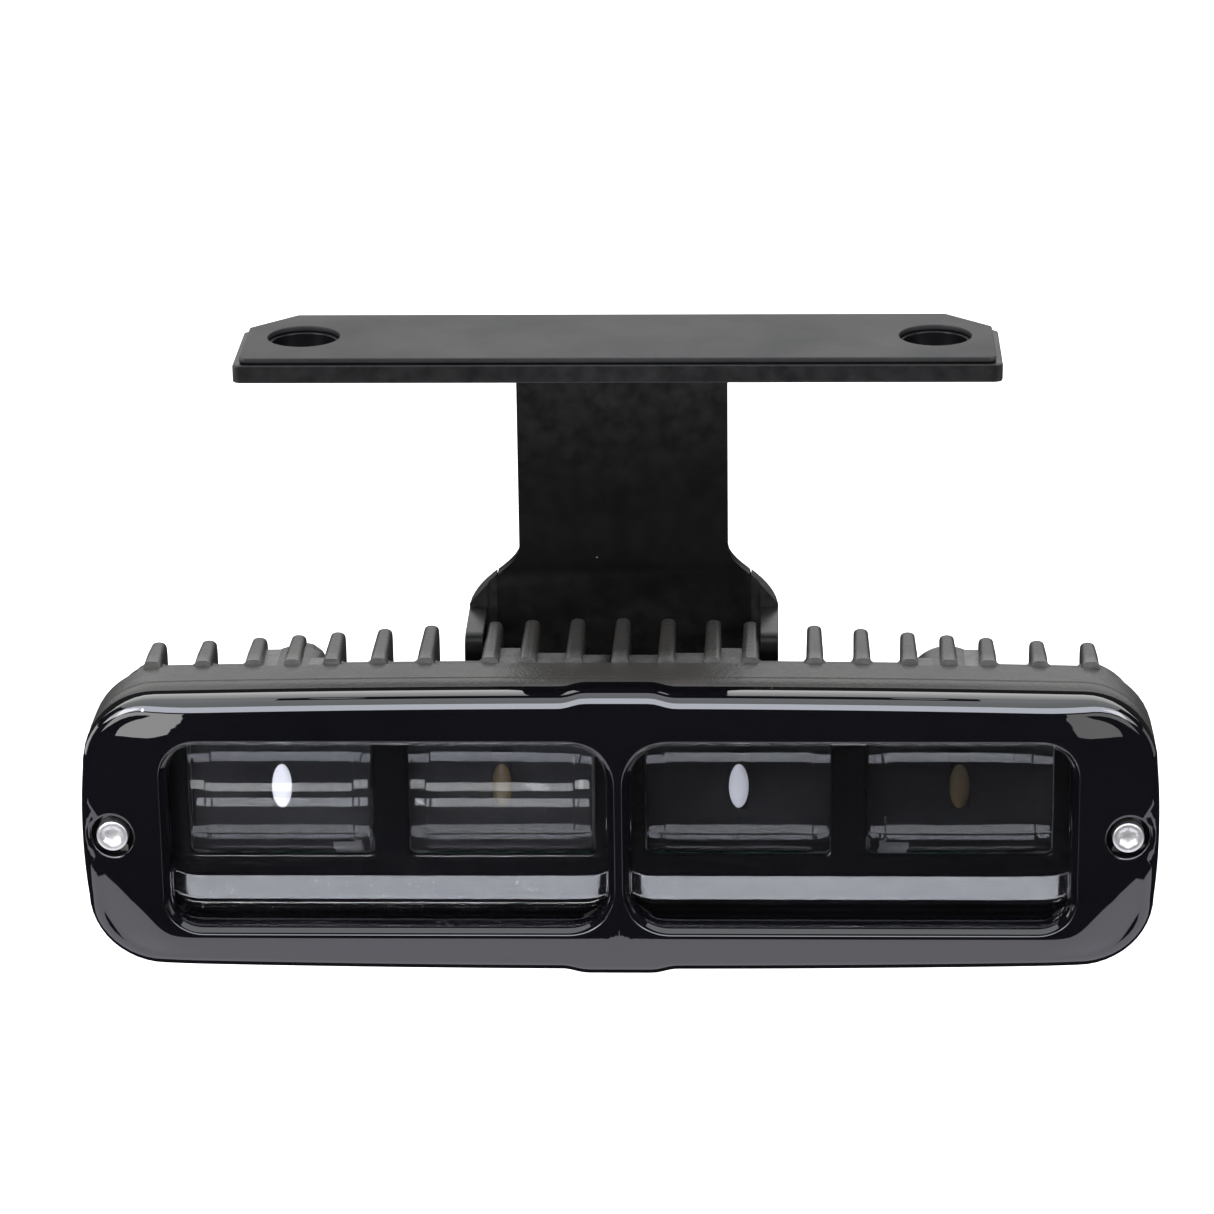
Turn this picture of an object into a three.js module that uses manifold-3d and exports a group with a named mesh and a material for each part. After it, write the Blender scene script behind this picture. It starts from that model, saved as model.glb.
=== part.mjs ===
// LED fog light: a die-cast finned lamp with four cylinder-lens optics, hung in a steel drop bracket.
// Units are millimetres. The origin is the middle of the bracket's mounting pad, on its top face.
// +Z is up, the light shines towards -Y, and +X is to the right of somebody who faces the lens.
import * as THREE from "three";
import { mergeVertices } from "three/addons/utils/BufferGeometryUtils.js";
import Module from "manifold-3d";

const wasm = await Module();
wasm.setup();

// ---- Driving dimensions ---------------------------------------------------------------------

// Lamp outline, as seen from the front
const lampWidth = 185.4;
const lampHeight = 51.4;
const lampCorner = 13;
const edgeCrown = 0.9; // the long edges stand this much higher in the middle than at the corners
const endCrown = 0.6; // the short ends bow out by this much
const bulgeRise = 0.8; // raised middle of the trim ring, top and bottom
const bulgeFlat = 12;
const bulgeRun = 3.6;
const bulgeFront = 1.4; // behind the front of the trim ring

// Trim ring (bezel): depths run backwards from its front
const bezelDepth = 6.8;
const bezelSlope = 4.6; // width of the rounded border of its front face
const bezelRound = 3.2; // depth of that border
const windowMargin = 7.9; // from the window to the top and bottom of the lamp
const windowEndMargin = 14.3;
const windowPost = 1.6;
const windowCorner = 7;

// Housing
const flangeDepth = 11.9;
const flangeRound = 2.4;
const rearWall = 2.4;
const cavityGrow = 1; // the cavity is this much wider than the windows on every side
const bodyInset = 0.7;
const shoulderInset = 2;
const shoulderRise = 6.2; // how far the end walls stand off the rear wall
const finThickness = 2.7;
const finEdgeRound = 0.9;
const finProud = 0.8; // fins stand this much above and below the flange
const finCorner = 3.5;
const finEndRise = 8.8; // how far the outermost fins stand off the rear wall
const finToLeg = 3; // between the longest fin and the drop leg
const innerFinPitch = 8;
const finPitch = 8.2;
const endFinPitch = 8.8;
const bossFinPitch = 6.8;
const endWall = 11.5;
const webRise = [2.7, 3.7, 6.2]; // how far the webs between the middle fins stand off the rear wall
const bossWebRise = 2.3;
const bossRadius = 7;
const bossRise = 6.8;
const bossFromEnd = 35.9;
const bossFromTop = 7.8;

// Seal, cover lens and optics
const sealLand = 2.2;
const sealDepth = 1.2;
const lensFlange = 2;
const lensRaise = 1.5; // the lens panes stand this much in front of its flange
const opticGap = 6.6; // between the two optics behind one window
const opticSideGap = 4.1; // between an optic and the side of the window
const opticTopGap = 2.8; // between window top and optic
const ledgeHeight = 10.8; // between window bottom and optic
const opticFront = 8;
const opticDepth = 8.6;
const opticCrown = 4;
const opticLip = 1.3;
const opticLipDepth = 1.5;
const opticLipCorner = 3;
const holderFace = 12; // front of the wall that the optics look through
const holderWall = 1.4;
const ledgeReach = 3.4; // how far the ledge under the optics comes forward
const ledgeDrop = 5.2;

// Electronics
const boardThickness = 1.6;
const thermalPadThickness = 0.5;
const emitterWidth = 3.6;
const emitterLength = 7.6;
const emitterHeight = 0.8;
const emitterGap = 0.3; // between an LED and its optic
const boardMargin = 2.2; // between the optics' height and the driver board
const ledBoardInset = 1; // LED boards are this much shorter than the optics, at top and bottom
const driverLength = 124;
const coilRadius = 3;
const coilHeight = 3.2;
const coilX = 18;
const capacitorRadius = 2.4;
const capacitorX = 36;
const jumperWidth = 5;
const jumperX = 8;

// Bracket
const plateLength = 130.5;
const plateDepth = 28.5;
const plateThickness = 3.2;
const plateChamfer = 8.5;
const plateCorner = 1.2;
const holeSpacing = 108.5;
const holeRadius = 5.5;
const padThickness = 1;
const padInset = 1.1;
const padHoleGrow = 0.7;
const legWidth = 37;
const legThickness = 3.2;
const legBehindPivot = 10;
const legBelowPivotTop = 4; // the flat of the leg ends this far above the pivot
const flareBottom = 15; // heights of the flare above the pivot
const flareTop = 25.5;
const earFrontReach = 7; // the ears reach this far in front of the pivot
const earRadius = 8;
const dropHeight = 68; // from the mounting face down to the pivot

// Pivot
const pivotFromFront = 34; // behind the front of the trim ring
const pivotAboveMiddle = 12;
const pivotFromPlateMiddle = 1;
const pivotBlockWidth = 47.8;
const pivotBossRadius = 6.5;
const boltRadius = 3;
const boltHeadRadius = 5.2;
const boltHeadHeight = 3.3;
const boltGrip = 9;
const boltSocket = 2.3;
const washerRadius = 6;
const washerThickness = 1;
const springWasherRadius = 5;
const springWasherThickness = 1.2;
const earBayWidth = 4.95; // free space between an ear and the next fin
const accessRadius = 7;

// Small fasteners
const trimScrewFromEnd = 5.7;
const trimScrewRadius = 1.5;
const trimScrewHead = 2.75;
const trimScrewHeadHeight = 3;
const trimScrewLength = 10.4;
const trimScrewSeat = 3.8;
const trimScrewSocket = 1.45;
const boardScrewRadius = 1.2;
const boardScrewHead = 2.2;
const boardScrewHeadHeight = 1.4;
const boardScrewGrip = 1.5;
const boardScrewSpread = 12;

// Cable entry and breather
const glandThread = 3;
const glandHexRadius = 5.1;
const glandHexLength = 4;
const glandNutRadius = 4.5;
const glandNutLength = 6;
const glandBore = 1.9;
const glandSealRadius = 3;
const ventRadius = 4.6;
const ventHeight = 2.6;
const ventStem = 1.6;

// Clearances
const fit = 0.15; // round a screw or a plug in its hole
const slip = 0.3; // between pieces that slide in or turn against each other
const seat = 0.1; // between faces that rest on each other

// ---- Values that follow from them --------------------------------------------------------------

const halfWidth = lampWidth / 2;
const halfHeight = lampHeight / 2;
const flangeBack = bezelDepth + flangeDepth;
const opticBack = opticFront + opticDepth;
const boardFront = opticBack + emitterGap + emitterHeight;
const boardBack = boardFront + boardThickness;
const cavityBack = boardBack + thermalPadThickness;
const bodyBack = cavityBack + rearWall;
const shoulderDepth = bodyBack + shoulderRise;
const finEndDepth = bodyBack + finEndRise;
const bossDepth = bodyBack + bossRise;
const windowOuter = halfWidth - windowEndMargin;
const windowInner = windowPost / 2;
const windowHalf = halfHeight - windowMargin;
const windowMiddle = (windowOuter + windowInner) / 2;
const cavityHalfWidth = windowOuter + cavityGrow;
const cavityHalfHeight = windowHalf + cavityGrow;
const landHalfWidth = cavityHalfWidth + sealLand;
const landHalfHeight = cavityHalfHeight + sealLand;
const lensBack = bezelDepth - seat;
const lensFlangeFront = lensBack - lensFlange;
const opticTop = windowHalf - opticTopGap;
const opticBottom = ledgeHeight - windowHalf;
const opticMiddle = (opticTop + opticBottom) / 2;
const opticHalf = (opticTop - opticBottom) / 2;
const opticWidth = (windowOuter - windowInner - opticGap) / 2 - opticSideGap;
const opticPitch = opticWidth + opticGap;
const holderBack = boardFront - slip;
const ledBoardTop = opticTop - ledBoardInset;
const ledBoardBottom = opticBottom + ledBoardInset;
const driverTop = opticBottom - boardMargin;
const driverBottom = slip - cavityHalfHeight;
const driverMiddle = (driverTop + driverBottom) / 2;
const longestFin = pivotFromFront + legBehindPivot - finToLeg;
const blockFace = pivotBlockWidth / 2;
const earInner = blockFace + slip;
const earOuter = earInner + legThickness;
const firstOuterFin = earOuter + earBayWidth + finThickness / 2;
const pivotFin = blockFace - finThickness / 2;
const lastFin = halfWidth - endWall;
const bossX = halfWidth - bossFromEnd;
const bossZ = halfHeight - bossFromTop;
const plateTop = -padThickness;
const plateBottom = plateTop - plateThickness;

// ---- Finishes -----------------------------------------------------------------------------------

const finish = (color, roughness, metalness) =>
  new THREE.MeshStandardMaterial({ color, roughness, metalness });
const paintedSteel = finish(0x1b1b1d, 0.45, 0.3);
const padRubber = finish(0x1a1a1a, 0.6, 0);
const castBlack = finish(0x161617, 0.6, 0.2);
const glossBlack = finish(0x060607, 0.08, 0);
const clearLens = new THREE.MeshStandardMaterial({
  color: 0xe8edf2,
  roughness: 0.03,
  metalness: 0,
  transparent: true,
  opacity: 0.35,
});
const holderBlack = finish(0x08080a, 0.18, 0);
const stainless = finish(0xb9b9bb, 0.3, 1);
const zincSteel = finish(0x8f9194, 0.4, 1);
const boardBlack = finish(0x1c1c1e, 0.35, 0);
const boardGreen = finish(0x1f4a2c, 0.5, 0);
const phosphor = finish(0xe8c430, 0.4, 0);
const sealRubber = finish(0x141414, 0.85, 0);
const padGrey = finish(0x8c98a3, 0.8, 0);
const glandPlastic = finish(0x101010, 0.45, 0);
const coilFerrite = finish(0x2d2b29, 0.6, 0);
const capacitorCan = finish(0xa9abad, 0.35, 0.9);

// ---- Shape tools --------------------------------------------------------------------------------

// A closed geometry as a solid that can be joined and cut.
function solid(geometry) {
  const bare = geometry.index ? geometry.toNonIndexed() : geometry.clone();
  bare.deleteAttribute("normal");
  bare.deleteAttribute("uv");
  const merged = mergeVertices(bare, 1e-4);
  return new wasm.Manifold(
    new wasm.Mesh({
      numProp: 3,
      vertProperties: merged.attributes.position.array,
      triVerts: new Uint32Array(merged.index.array),
    }),
  );
}

const join = (first, ...rest) => rest.reduce((sum, next) => sum.add(next), first);
const cut = (first, ...rest) => rest.reduce((left, next) => left.subtract(next), first);

// A solid back as a flat-shaded geometry.
function geometryOf(made) {
  const { numProp, vertProperties, triVerts } = made.getMesh();
  const position = new Float32Array(triVerts.length * 3);
  triVerts.forEach((v, i) => {
    const at = v * numProp;
    position.set(vertProperties.subarray(at, at + 3), i * 3);
  });
  const geometry = new THREE.BufferGeometry();
  geometry.setAttribute("position", new THREE.BufferAttribute(position, 3));
  geometry.computeVertexNormals();
  return geometry;
}

const AXES = {
  x: [new THREE.Vector3(0, 1, 0), new THREE.Vector3(0, 0, 1), new THREE.Vector3(1, 0, 0)],
  y: [new THREE.Vector3(1, 0, 0), new THREE.Vector3(0, 0, 1), new THREE.Vector3(0, -1, 0)],
  z: [new THREE.Vector3(1, 0, 0), new THREE.Vector3(0, 1, 0), new THREE.Vector3(0, 0, 1)],
};

// Two values in rising order.
function ordered(a, b) {
  return a < b ? [a, b] : [b, a];
}

// An outline pushed along one axis, from low to high. Across x it is drawn in (y, z), across y in
// (x, z) and across z in (x, y). A round softens the edges at both ends.
function prism(axis, shape, low, high, options = {}) {
  const { roundSize = 0, roundDepth = roundSize, steps = 2, curve = 4 } = options;
  const geometry = new THREE.ExtrudeGeometry(shape, {
    depth: high - low - 2 * roundDepth,
    bevelEnabled: roundSize > 0,
    bevelSize: roundSize,
    bevelOffset: -roundSize,
    bevelThickness: roundDepth,
    bevelSegments: steps,
    curveSegments: curve,
  });
  geometry.translate(0, 0, roundDepth);
  geometry.applyMatrix4(new THREE.Matrix4().makeBasis(...AXES[axis]));
  if (axis === "x") geometry.translate(low, 0, 0);
  if (axis === "y") geometry.translate(0, high, 0);
  if (axis === "z") geometry.translate(0, 0, low);
  return solid(geometry);
}

// A block between two corners.
function block([x0, y0, z0], [x1, y1, z1]) {
  const geometry = new THREE.BoxGeometry(x1 - x0, y1 - y0, z1 - z0);
  geometry.translate((x0 + x1) / 2, (y0 + y1) / 2, (z0 + z1) / 2);
  return solid(geometry);
}

// A round bar along an axis, through (a, b) in the plane across it.
function rod(axis, a, b, radius, low, high, sides = 16) {
  const geometry = new THREE.CylinderGeometry(radius, radius, high - low, sides);
  const middle = (low + high) / 2;
  if (axis === "x") geometry.rotateZ(Math.PI / 2).translate(middle, a, b);
  if (axis === "y") geometry.translate(a, middle, b);
  if (axis === "z") geometry.rotateX(Math.PI / 2).translate(a, b, middle);
  return solid(geometry);
}

// A profile of [radius, y] points turned about the y axis, listed from low to high on the outside.
function turned(profile, sides = 14) {
  return solid(new THREE.LatheGeometry(profile.map(([radius, y]) => new THREE.Vector2(radius, y)), sides));
}

// A rectangle with round corners, its middle at (cx, cy).
function roundedRectangle(cx, cy, width, height, radius) {
  const [x, y] = [width / 2, height / 2];
  const shape = new THREE.Shape();
  shape.absarc(cx + x - radius, cy - y + radius, radius, -Math.PI / 2, 0);
  shape.absarc(cx + x - radius, cy + y - radius, radius, 0, Math.PI / 2);
  shape.absarc(cx - x + radius, cy + y - radius, radius, Math.PI / 2, Math.PI);
  shape.absarc(cx - x + radius, cy - y + radius, radius, Math.PI, 1.5 * Math.PI);
  shape.closePath();
  return shape;
}

function polygon(points) {
  return new THREE.Shape(points.map(([x, y]) => new THREE.Vector2(x, y)));
}

// Half height of the crowned lamp outline at a distance from the middle.
function edgeHeight(x, inset = 0) {
  const run = halfWidth - lampCorner;
  return halfHeight - inset - edgeCrown * Math.min(1, (x / run) ** 2);
}

// The lamp's outline: crowned long edges, bowed ends and round corners.
function lampOutline(inset) {
  const radius = lampCorner - inset;
  const run = halfWidth - lampCorner - endCrown;
  const top = edgeHeight(run, inset);
  const side = top - radius;
  const end = run + radius;
  const peak = 2 * edgeHeight(0, inset) - top;
  const shape = new THREE.Shape();
  shape.moveTo(-run, -top);
  shape.quadraticCurveTo(0, -peak, run, -top);
  shape.absarc(run, -side, radius, -Math.PI / 2, 0);
  shape.quadraticCurveTo(end + 2 * endCrown, 0, end, side);
  shape.absarc(run, side, radius, 0, Math.PI / 2);
  shape.quadraticCurveTo(0, peak, -run, top);
  shape.absarc(-run, side, radius, Math.PI / 2, Math.PI);
  shape.quadraticCurveTo(-end - 2 * endCrown, 0, -end, -side);
  shape.absarc(-run, -side, radius, Math.PI, 1.5 * Math.PI);
  return shape;
}

// The raised middle of one long edge of the trim ring; way is 1 at the top and -1 at the bottom.
function bulgeOutline(way) {
  const flat = bulgeFlat / 2;
  const out = flat + bulgeRun;
  const base = way * edgeHeight(out);
  const peak = way * (edgeHeight(0) + bulgeRise);
  const root = way * (windowHalf + 1);
  const bend = bulgeRun / 2;
  const shape = new THREE.Shape();
  shape.moveTo(-out, root);
  shape.lineTo(-out, base);
  shape.bezierCurveTo(bend - out, base, -flat - bend, peak, -flat, peak);
  shape.lineTo(flat, peak);
  shape.bezierCurveTo(flat + bend, peak, out - bend, base, out, base);
  shape.lineTo(out, root);
  shape.closePath();
  return shape;
}

// A slab of the lamp outline with its front edge rounded and its back edge sharp.
function frontRounded(shape, front, back, size, depth, steps) {
  const long = prism("y", shape, front, back + depth, { roundSize: size, roundDepth: depth, steps });
  const reach = halfWidth + lampCorner;
  return long.subtract(block([-reach, back, -reach], [reach, back + 2 * depth, reach]));
}

// Positions from one value to another, evenly spread at about the given pitch.
function spread(from, to, pitch) {
  const count = Math.max(1, Math.round((to - from) / pitch));
  return Array.from({ length: count + 1 }, (_, i) => from + ((to - from) * i) / count);
}

const SIDES = [
  ["left", -1],
  ["right", 1],
];

// ---- Lamp pieces, drawn with the front of the trim ring at y = 0 and mid-height at z = 0 ---------

// How far back a fin reaches at a distance from the middle.
function finDepth(x) {
  const fade = Math.cos((Math.PI * x) / (2 * (halfWidth - lampCorner / 2))) ** 2;
  return finEndDepth + (longestFin - finEndDepth) * fade;
}

// Where the fins stand on one half of the lamp, from the middle outwards.
function finPlaces() {
  const inner = [];
  for (let x = 0; x < pivotFin - innerFinPitch / 2; x += innerFinPitch) inner.push(x);
  return [
    ...inner,
    pivotFin,
    ...spread(firstOuterFin, bossX - bossFinPitch, finPitch),
    bossX,
    ...spread(bossX + bossFinPitch, lastFin, endFinPitch),
  ];
}

function fin(x) {
  const half = edgeHeight(x) + finProud;
  const tip = finDepth(x);
  const root = cavityBack + rearWall / 2;
  const shape = new THREE.Shape();
  shape.moveTo(root, -half);
  shape.lineTo(tip - finCorner, -half);
  shape.absarc(tip - finCorner, finCorner - half, finCorner, -Math.PI / 2, 0);
  shape.absarc(tip - finCorner, half - finCorner, finCorner, 0, Math.PI / 2);
  shape.lineTo(root, half);
  shape.closePath();
  const low = x - finThickness / 2;
  return prism("x", shape, low, low + finThickness, { roundSize: finEdgeRound, steps: 1, curve: 3 });
}

// A web that fills the gap between two fins up to a height above the rear wall.
function web(from, to, rise) {
  const half = Math.min(edgeHeight(from, bodyInset), edgeHeight(to, bodyInset));
  return block([from, cavityBack + rearWall / 2, -half], [to, bodyBack + rise, half]);
}

function housing() {
  const flange = frontRounded(lampOutline(0), bezelDepth, flangeBack, flangeRound / 2, flangeRound, 3);
  const back = prism("y", lampOutline(bodyInset), flangeBack - 1, bodyBack);
  const reach = halfWidth + 1;
  const shoulders = prism("y", lampOutline(shoulderInset), cavityBack, shoulderDepth, {
    roundSize: 2,
    roundDepth: 1.5,
  }).subtract(block([-lastFin, 0, -reach], [lastFin, reach, reach]));
  const places = finPlaces();
  const webs = webRise.map((rise, i) => [places[i], places[i + 1], rise]);
  webs.push([bossX - bossFinPitch, bossX, bossWebRise]);
  webs.push([bossX, bossX + bossFinPitch, bossRise]);
  const ribs = [fin(0)];
  for (const [, way] of SIDES) {
    ribs.push(...places.slice(1).map((x) => fin(way * x)));
    ribs.push(...webs.map(([from, to, rise]) => web(...ordered(way * from, way * to), rise)));
    ribs.push(rod("y", way * bossX, bossZ, bossRadius, bodyBack - 1, bossDepth, 24));
    ribs.push(pivotBlock(way));
  }
  return cut(join(flange, back, shoulders, ...ribs), ...housingCuts());
}

// The thick part beside each ear that takes a pivot bolt.
function pivotBlock(way) {
  const inner = ordered(way * (pivotFin - innerFinPitch), way * blockFace);
  const lug = rod("x", pivotFromFront, pivotAboveMiddle, pivotBossRadius, ...inner, 24);
  const foot = block(
    [inner[0], bodyBack - 1, pivotAboveMiddle - pivotBossRadius],
    [inner[1], pivotFromFront, pivotAboveMiddle + pivotBossRadius],
  );
  return lug.add(foot);
}

// Everything that is cut out of the casting, the same on both sides but for the cable entry.
function housingCuts() {
  const cavity = roundedRectangle(0, 0, 2 * cavityHalfWidth, 2 * cavityHalfHeight, windowCorner);
  const land = roundedRectangle(0, 0, 2 * landHalfWidth, 2 * landHalfHeight, windowCorner + sealLand);
  const cuts = [prism("y", cavity, 0, cavityBack), prism("y", land, 0, bezelDepth + sealDepth)];
  const outerFins = spread(firstOuterFin, bossX - bossFinPitch, finPitch);
  const accessEnd = outerFins[1] + finThickness;
  const [lugLow, lugHigh] = [pivotAboveMiddle - accessRadius, pivotAboveMiddle + accessRadius];
  const screwEnd = trimScrewSeat + trimScrewLength + seat;
  const tapEnd = cavityBack + boardScrewGrip + seat;
  const tapRadius = boardScrewRadius + fit;
  for (const [, way] of SIDES) {
    cuts.push(rod("y", way * (halfWidth - trimScrewFromEnd), 0, trimScrewRadius + fit, 0, screwEnd));
    const bolt = ordered(way * (earInner - boltGrip - seat), way * (blockFace + 1));
    cuts.push(rod("x", pivotFromFront, pivotAboveMiddle, boltRadius + fit, ...bolt));
    const clear = ordered(way * earOuter, way * accessEnd);
    cuts.push(rod("x", pivotFromFront, pivotAboveMiddle, accessRadius, ...clear, 24));
    cuts.push(block([clear[0], pivotFromFront, lugLow], [clear[1], longestFin, lugHigh]));
    for (const z of boardScrewHeights()) {
      cuts.push(rod("y", way * windowMiddle, z, tapRadius, cavityBack - 1, tapEnd, 12));
    }
    cuts.push(rod("y", way * driverScrewX(), driverMiddle, tapRadius, cavityBack - 1, tapEnd, 12));
    cuts.push(rod("y", way * bossX, bossZ, glandHexRadius + 1, bossDepth, longestFin, 24));
  }
  cuts.push(rod("y", -bossX, bossZ, glandThread + fit, cavityBack - 1, bossDepth + 1));
  cuts.push(rod("y", bossX, bossZ, ventStem + fit, cavityBack - 1, bossDepth + 1));
  return cuts;
}

// The two screws of each LED board stand one above the other between its optics.
function boardScrewHeights() {
  const half = Math.min(boardScrewSpread, 2 * opticHalf - 4 * boardScrewHead) / 2;
  return [opticMiddle - half, opticMiddle + half];
}

function driverScrewX() {
  return driverLength / 2 - boardScrewHead - 1;
}

function windowOutline(way, grow) {
  const width = windowOuter - windowInner + 2 * grow;
  return roundedRectangle(way * windowMiddle, 0, width, 2 * (windowHalf + grow), windowCorner + grow);
}

function bezel() {
  const plain = frontRounded(lampOutline(0), 0, bezelDepth, bezelSlope, bezelRound, 4);
  const bulges = [-1, 1].map((way) => prism("y", bulgeOutline(way), bulgeFront, bezelDepth));
  const ring = join(plain, ...bulges);
  const [width, height] = [2 * (landHalfWidth + slip), 2 * (landHalfHeight + slip)];
  const recess = roundedRectangle(0, 0, width, height, windowCorner + sealLand);
  const pocket = prism("y", recess, lensFlangeFront - slip, bezelDepth + 1);
  const cuts = [pocket];
  for (const [, way] of SIDES) {
    const x = way * (halfWidth - trimScrewFromEnd);
    cuts.push(prism("y", windowOutline(way, 0), -1, bezelDepth));
    cuts.push(rod("y", x, 0, trimScrewRadius + fit, -1, bezelDepth + 1, 16));
    cuts.push(rod("y", x, 0, trimScrewHead + 1, -1, trimScrewSeat, 24));
  }
  return cut(ring, ...cuts);
}

function coverLens() {
  const radius = windowCorner + sealLand - slip;
  const outline = roundedRectangle(0, 0, 2 * landHalfWidth, 2 * landHalfHeight, radius);
  const flange = prism("y", outline, lensFlangeFront, lensBack);
  const panes = SIDES.map(([, way]) =>
    prism("y", windowOutline(way, -slip), lensFlangeFront - lensRaise, lensFlangeFront + 1),
  );
  return join(flange, ...panes);
}

function lensGasket() {
  const shape = roundedRectangle(
    0, 0, 2 * (landHalfWidth - fit), 2 * (landHalfHeight - fit), windowCorner + sealLand - fit,
  );
  shape.holes.push(
    roundedRectangle(0, 0, 2 * (cavityHalfWidth + fit), 2 * (cavityHalfHeight + fit), windowCorner + fit),
  );
  return prism("y", shape, bezelDepth, bezelDepth + sealDepth - seat);
}

// The places of the two optics behind one window.
function opticPlaces(way) {
  return [-1, 1].map((step) => way * windowMiddle + (step * opticPitch) / 2);
}

// A thick clear lens, curved only from top to bottom, with a lip that holds it behind the holder.
function optic(x) {
  const shoulder = opticFront + opticCrown;
  const radius = (opticHalf ** 2 + opticCrown ** 2) / (2 * opticCrown);
  const angle = Math.asin(opticHalf / radius);
  const profile = new THREE.Shape();
  profile.moveTo(opticBack, opticTop);
  profile.lineTo(shoulder, opticTop);
  profile.absarc(opticFront + radius, opticMiddle, radius, Math.PI - angle, Math.PI + angle);
  profile.lineTo(opticBack, opticBottom);
  profile.closePath();
  const lens = prism("x", profile, x - opticWidth / 2, x + opticWidth / 2, { curve: 12 });
  const lipFront = holderFace + holderWall + slip;
  const [width, height] = [opticWidth + 2 * opticLip, 2 * (opticHalf + opticLip)];
  const rim = roundedRectangle(x, opticMiddle, width, height, opticLipCorner);
  return lens.add(prism("y", rim, lipFront, lipFront + opticLipDepth, { curve: 4 }));
}

// The dark frame behind one window: a wall with two openings, a rim, and a sloped ledge below.
function opticHolder(way) {
  const grow = cavityGrow - slip;
  const inner = slip;
  const outer = cavityHalfWidth - slip;
  const half = windowHalf + grow;
  const width = outer - inner;
  const middle = way * (inner + outer) / 2;
  const front = bezelDepth + sealDepth + slip;
  const shell = prism("y", roundedRectangle(middle, 0, width, 2 * half, windowCorner), front, holderBack);
  const [innerWidth, innerHeight] = [width - 2 * holderWall, 2 * (half - holderWall)];
  const inside = roundedRectangle(middle, 0, innerWidth, innerHeight, windowCorner - holderWall);
  const hollow = (low, high) => prism("y", inside, low, high);
  const frame = cut(shell, hollow(front - 1, holderFace), hollow(holderFace + holderWall, holderBack + 1));
  const [low, high] = ordered(way * (inner + holderWall / 2), way * (outer - holderWall / 2));
  const ledgeTop = opticBottom - opticLip;
  const ledge = prism(
    "x",
    polygon([
      [holderFace + holderWall / 2, ledgeTop],
      [holderFace + holderWall / 2, holderWall / 2 - half],
      [holderFace - ledgeReach, holderWall / 2 - half],
      [holderFace - ledgeReach, ledgeTop - ledgeDrop],
      [holderFace, ledgeTop],
    ]),
    low,
    high,
  );
  const corner = prism("y", roundedRectangle(middle, 0, width, 2 * half, windowCorner), 0, holderBack);
  const openings = opticPlaces(way).map((x) =>
    block(
      [x - opticWidth / 2 - slip, holderFace - ledgeReach - 1, opticBottom - slip],
      [x + opticWidth / 2 + slip, holderFace + holderWall + 1, opticTop + slip],
    ),
  );
  return cut(frame.add(ledge.intersect(corner)), ...openings);
}

function ledBoard(way) {
  const half = (opticPitch + opticWidth) / 2;
  const middle = way * windowMiddle;
  const plate = block(
    [middle - half, boardFront, ledBoardBottom],
    [middle + half, boardBack - seat, ledBoardTop],
  );
  return cut(plate, ...boardScrewHoles(way));
}

function boardScrewHoles(way) {
  return boardScrewHeights().map((z) =>
    rod("y", way * windowMiddle, z, boardScrewRadius + fit, boardFront - 1, cavityBack + 1, 12),
  );
}

function thermalPad(way) {
  const half = (opticPitch + opticWidth) / 2 - 1;
  const middle = way * windowMiddle;
  const sheet = block(
    [middle - half, boardBack, ledBoardBottom + 1],
    [middle + half, cavityBack - seat, ledBoardTop - 1],
  );
  return cut(sheet, ...boardScrewHoles(way));
}

// One LED package: a base with a domed phosphor cap.
function emitter(x) {
  const [halfX, halfZ] = [emitterWidth / 2, emitterLength / 2];
  const base = block(
    [x - halfX, boardFront - emitterHeight * 0.6, opticMiddle - halfZ],
    [x + halfX, boardFront - seat, opticMiddle + halfZ],
  );
  const oval = roundedRectangle(x, opticMiddle, 1.6 * halfX, 1.6 * halfZ, 0.75 * halfX);
  return base.add(prism("y", oval, boardFront - emitterHeight, boardFront - seat));
}

function driverBoard() {
  const half = driverLength / 2;
  const plate = block([-half, boardFront, driverBottom], [half, boardBack, driverTop]);
  const holes = SIDES.map(([, way]) =>
    rod("y", way * driverScrewX(), driverMiddle, boardScrewRadius + fit, boardFront - 1, cavityBack, 12),
  );
  return cut(plate, ...holes);
}

function driverCoil(x) {
  const front = boardFront - coilHeight;
  const core = rod("y", x, driverMiddle, coilRadius * 0.7, front, boardFront - seat, 16);
  const plates = [
    rod("y", x, driverMiddle, coilRadius, front, front + coilHeight / 4, 20),
    rod("y", x, driverMiddle, coilRadius, boardFront - coilHeight / 4, boardFront - seat, 20),
  ];
  return join(core, ...plates);
}

function driverCapacitor(x) {
  return rod("y", x, driverMiddle, capacitorRadius, boardFront - coilHeight, boardFront - seat, 20);
}

// A two-way link that carries the current up from the driver board to an LED board.
function boardJumper(x) {
  return block(
    [x - jumperWidth / 2, boardFront - 1, driverTop - 1.5],
    [x + jumperWidth / 2, boardFront - seat, ledBoardBottom + 1.5],
  );
}

// A screw with its head's seat at y = 0, its head towards -y and its shank towards +y.
function screw({ radius, head, headHeight, length, socket, dome = 0 }) {
  const body = turned([
    [0, -headHeight],
    [head - dome * 0.9, -headHeight],
    [head, dome - headHeight],
    [head, 0],
    [radius, 0],
    [radius, length - radius * 0.4],
    [radius * 0.75, length],
    [0, length],
  ]);
  const depth = headHeight * 0.55;
  const hex = new THREE.CylinderGeometry(socket, socket, depth + 1, 6);
  return body.subtract(solid(hex.translate(0, (depth - 1) / 2 - headHeight, 0)));
}

function washer(radius, hole, thickness, split = 0) {
  const bore = rod("x", 0, 0, hole, -1, thickness + 1, 20);
  const ring = rod("x", 0, 0, radius, 0, thickness, 24).subtract(bore);
  return split ? ring.subtract(block([-1, -split / 2, 0], [thickness + 1, split / 2, radius + 1])) : ring;
}

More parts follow.
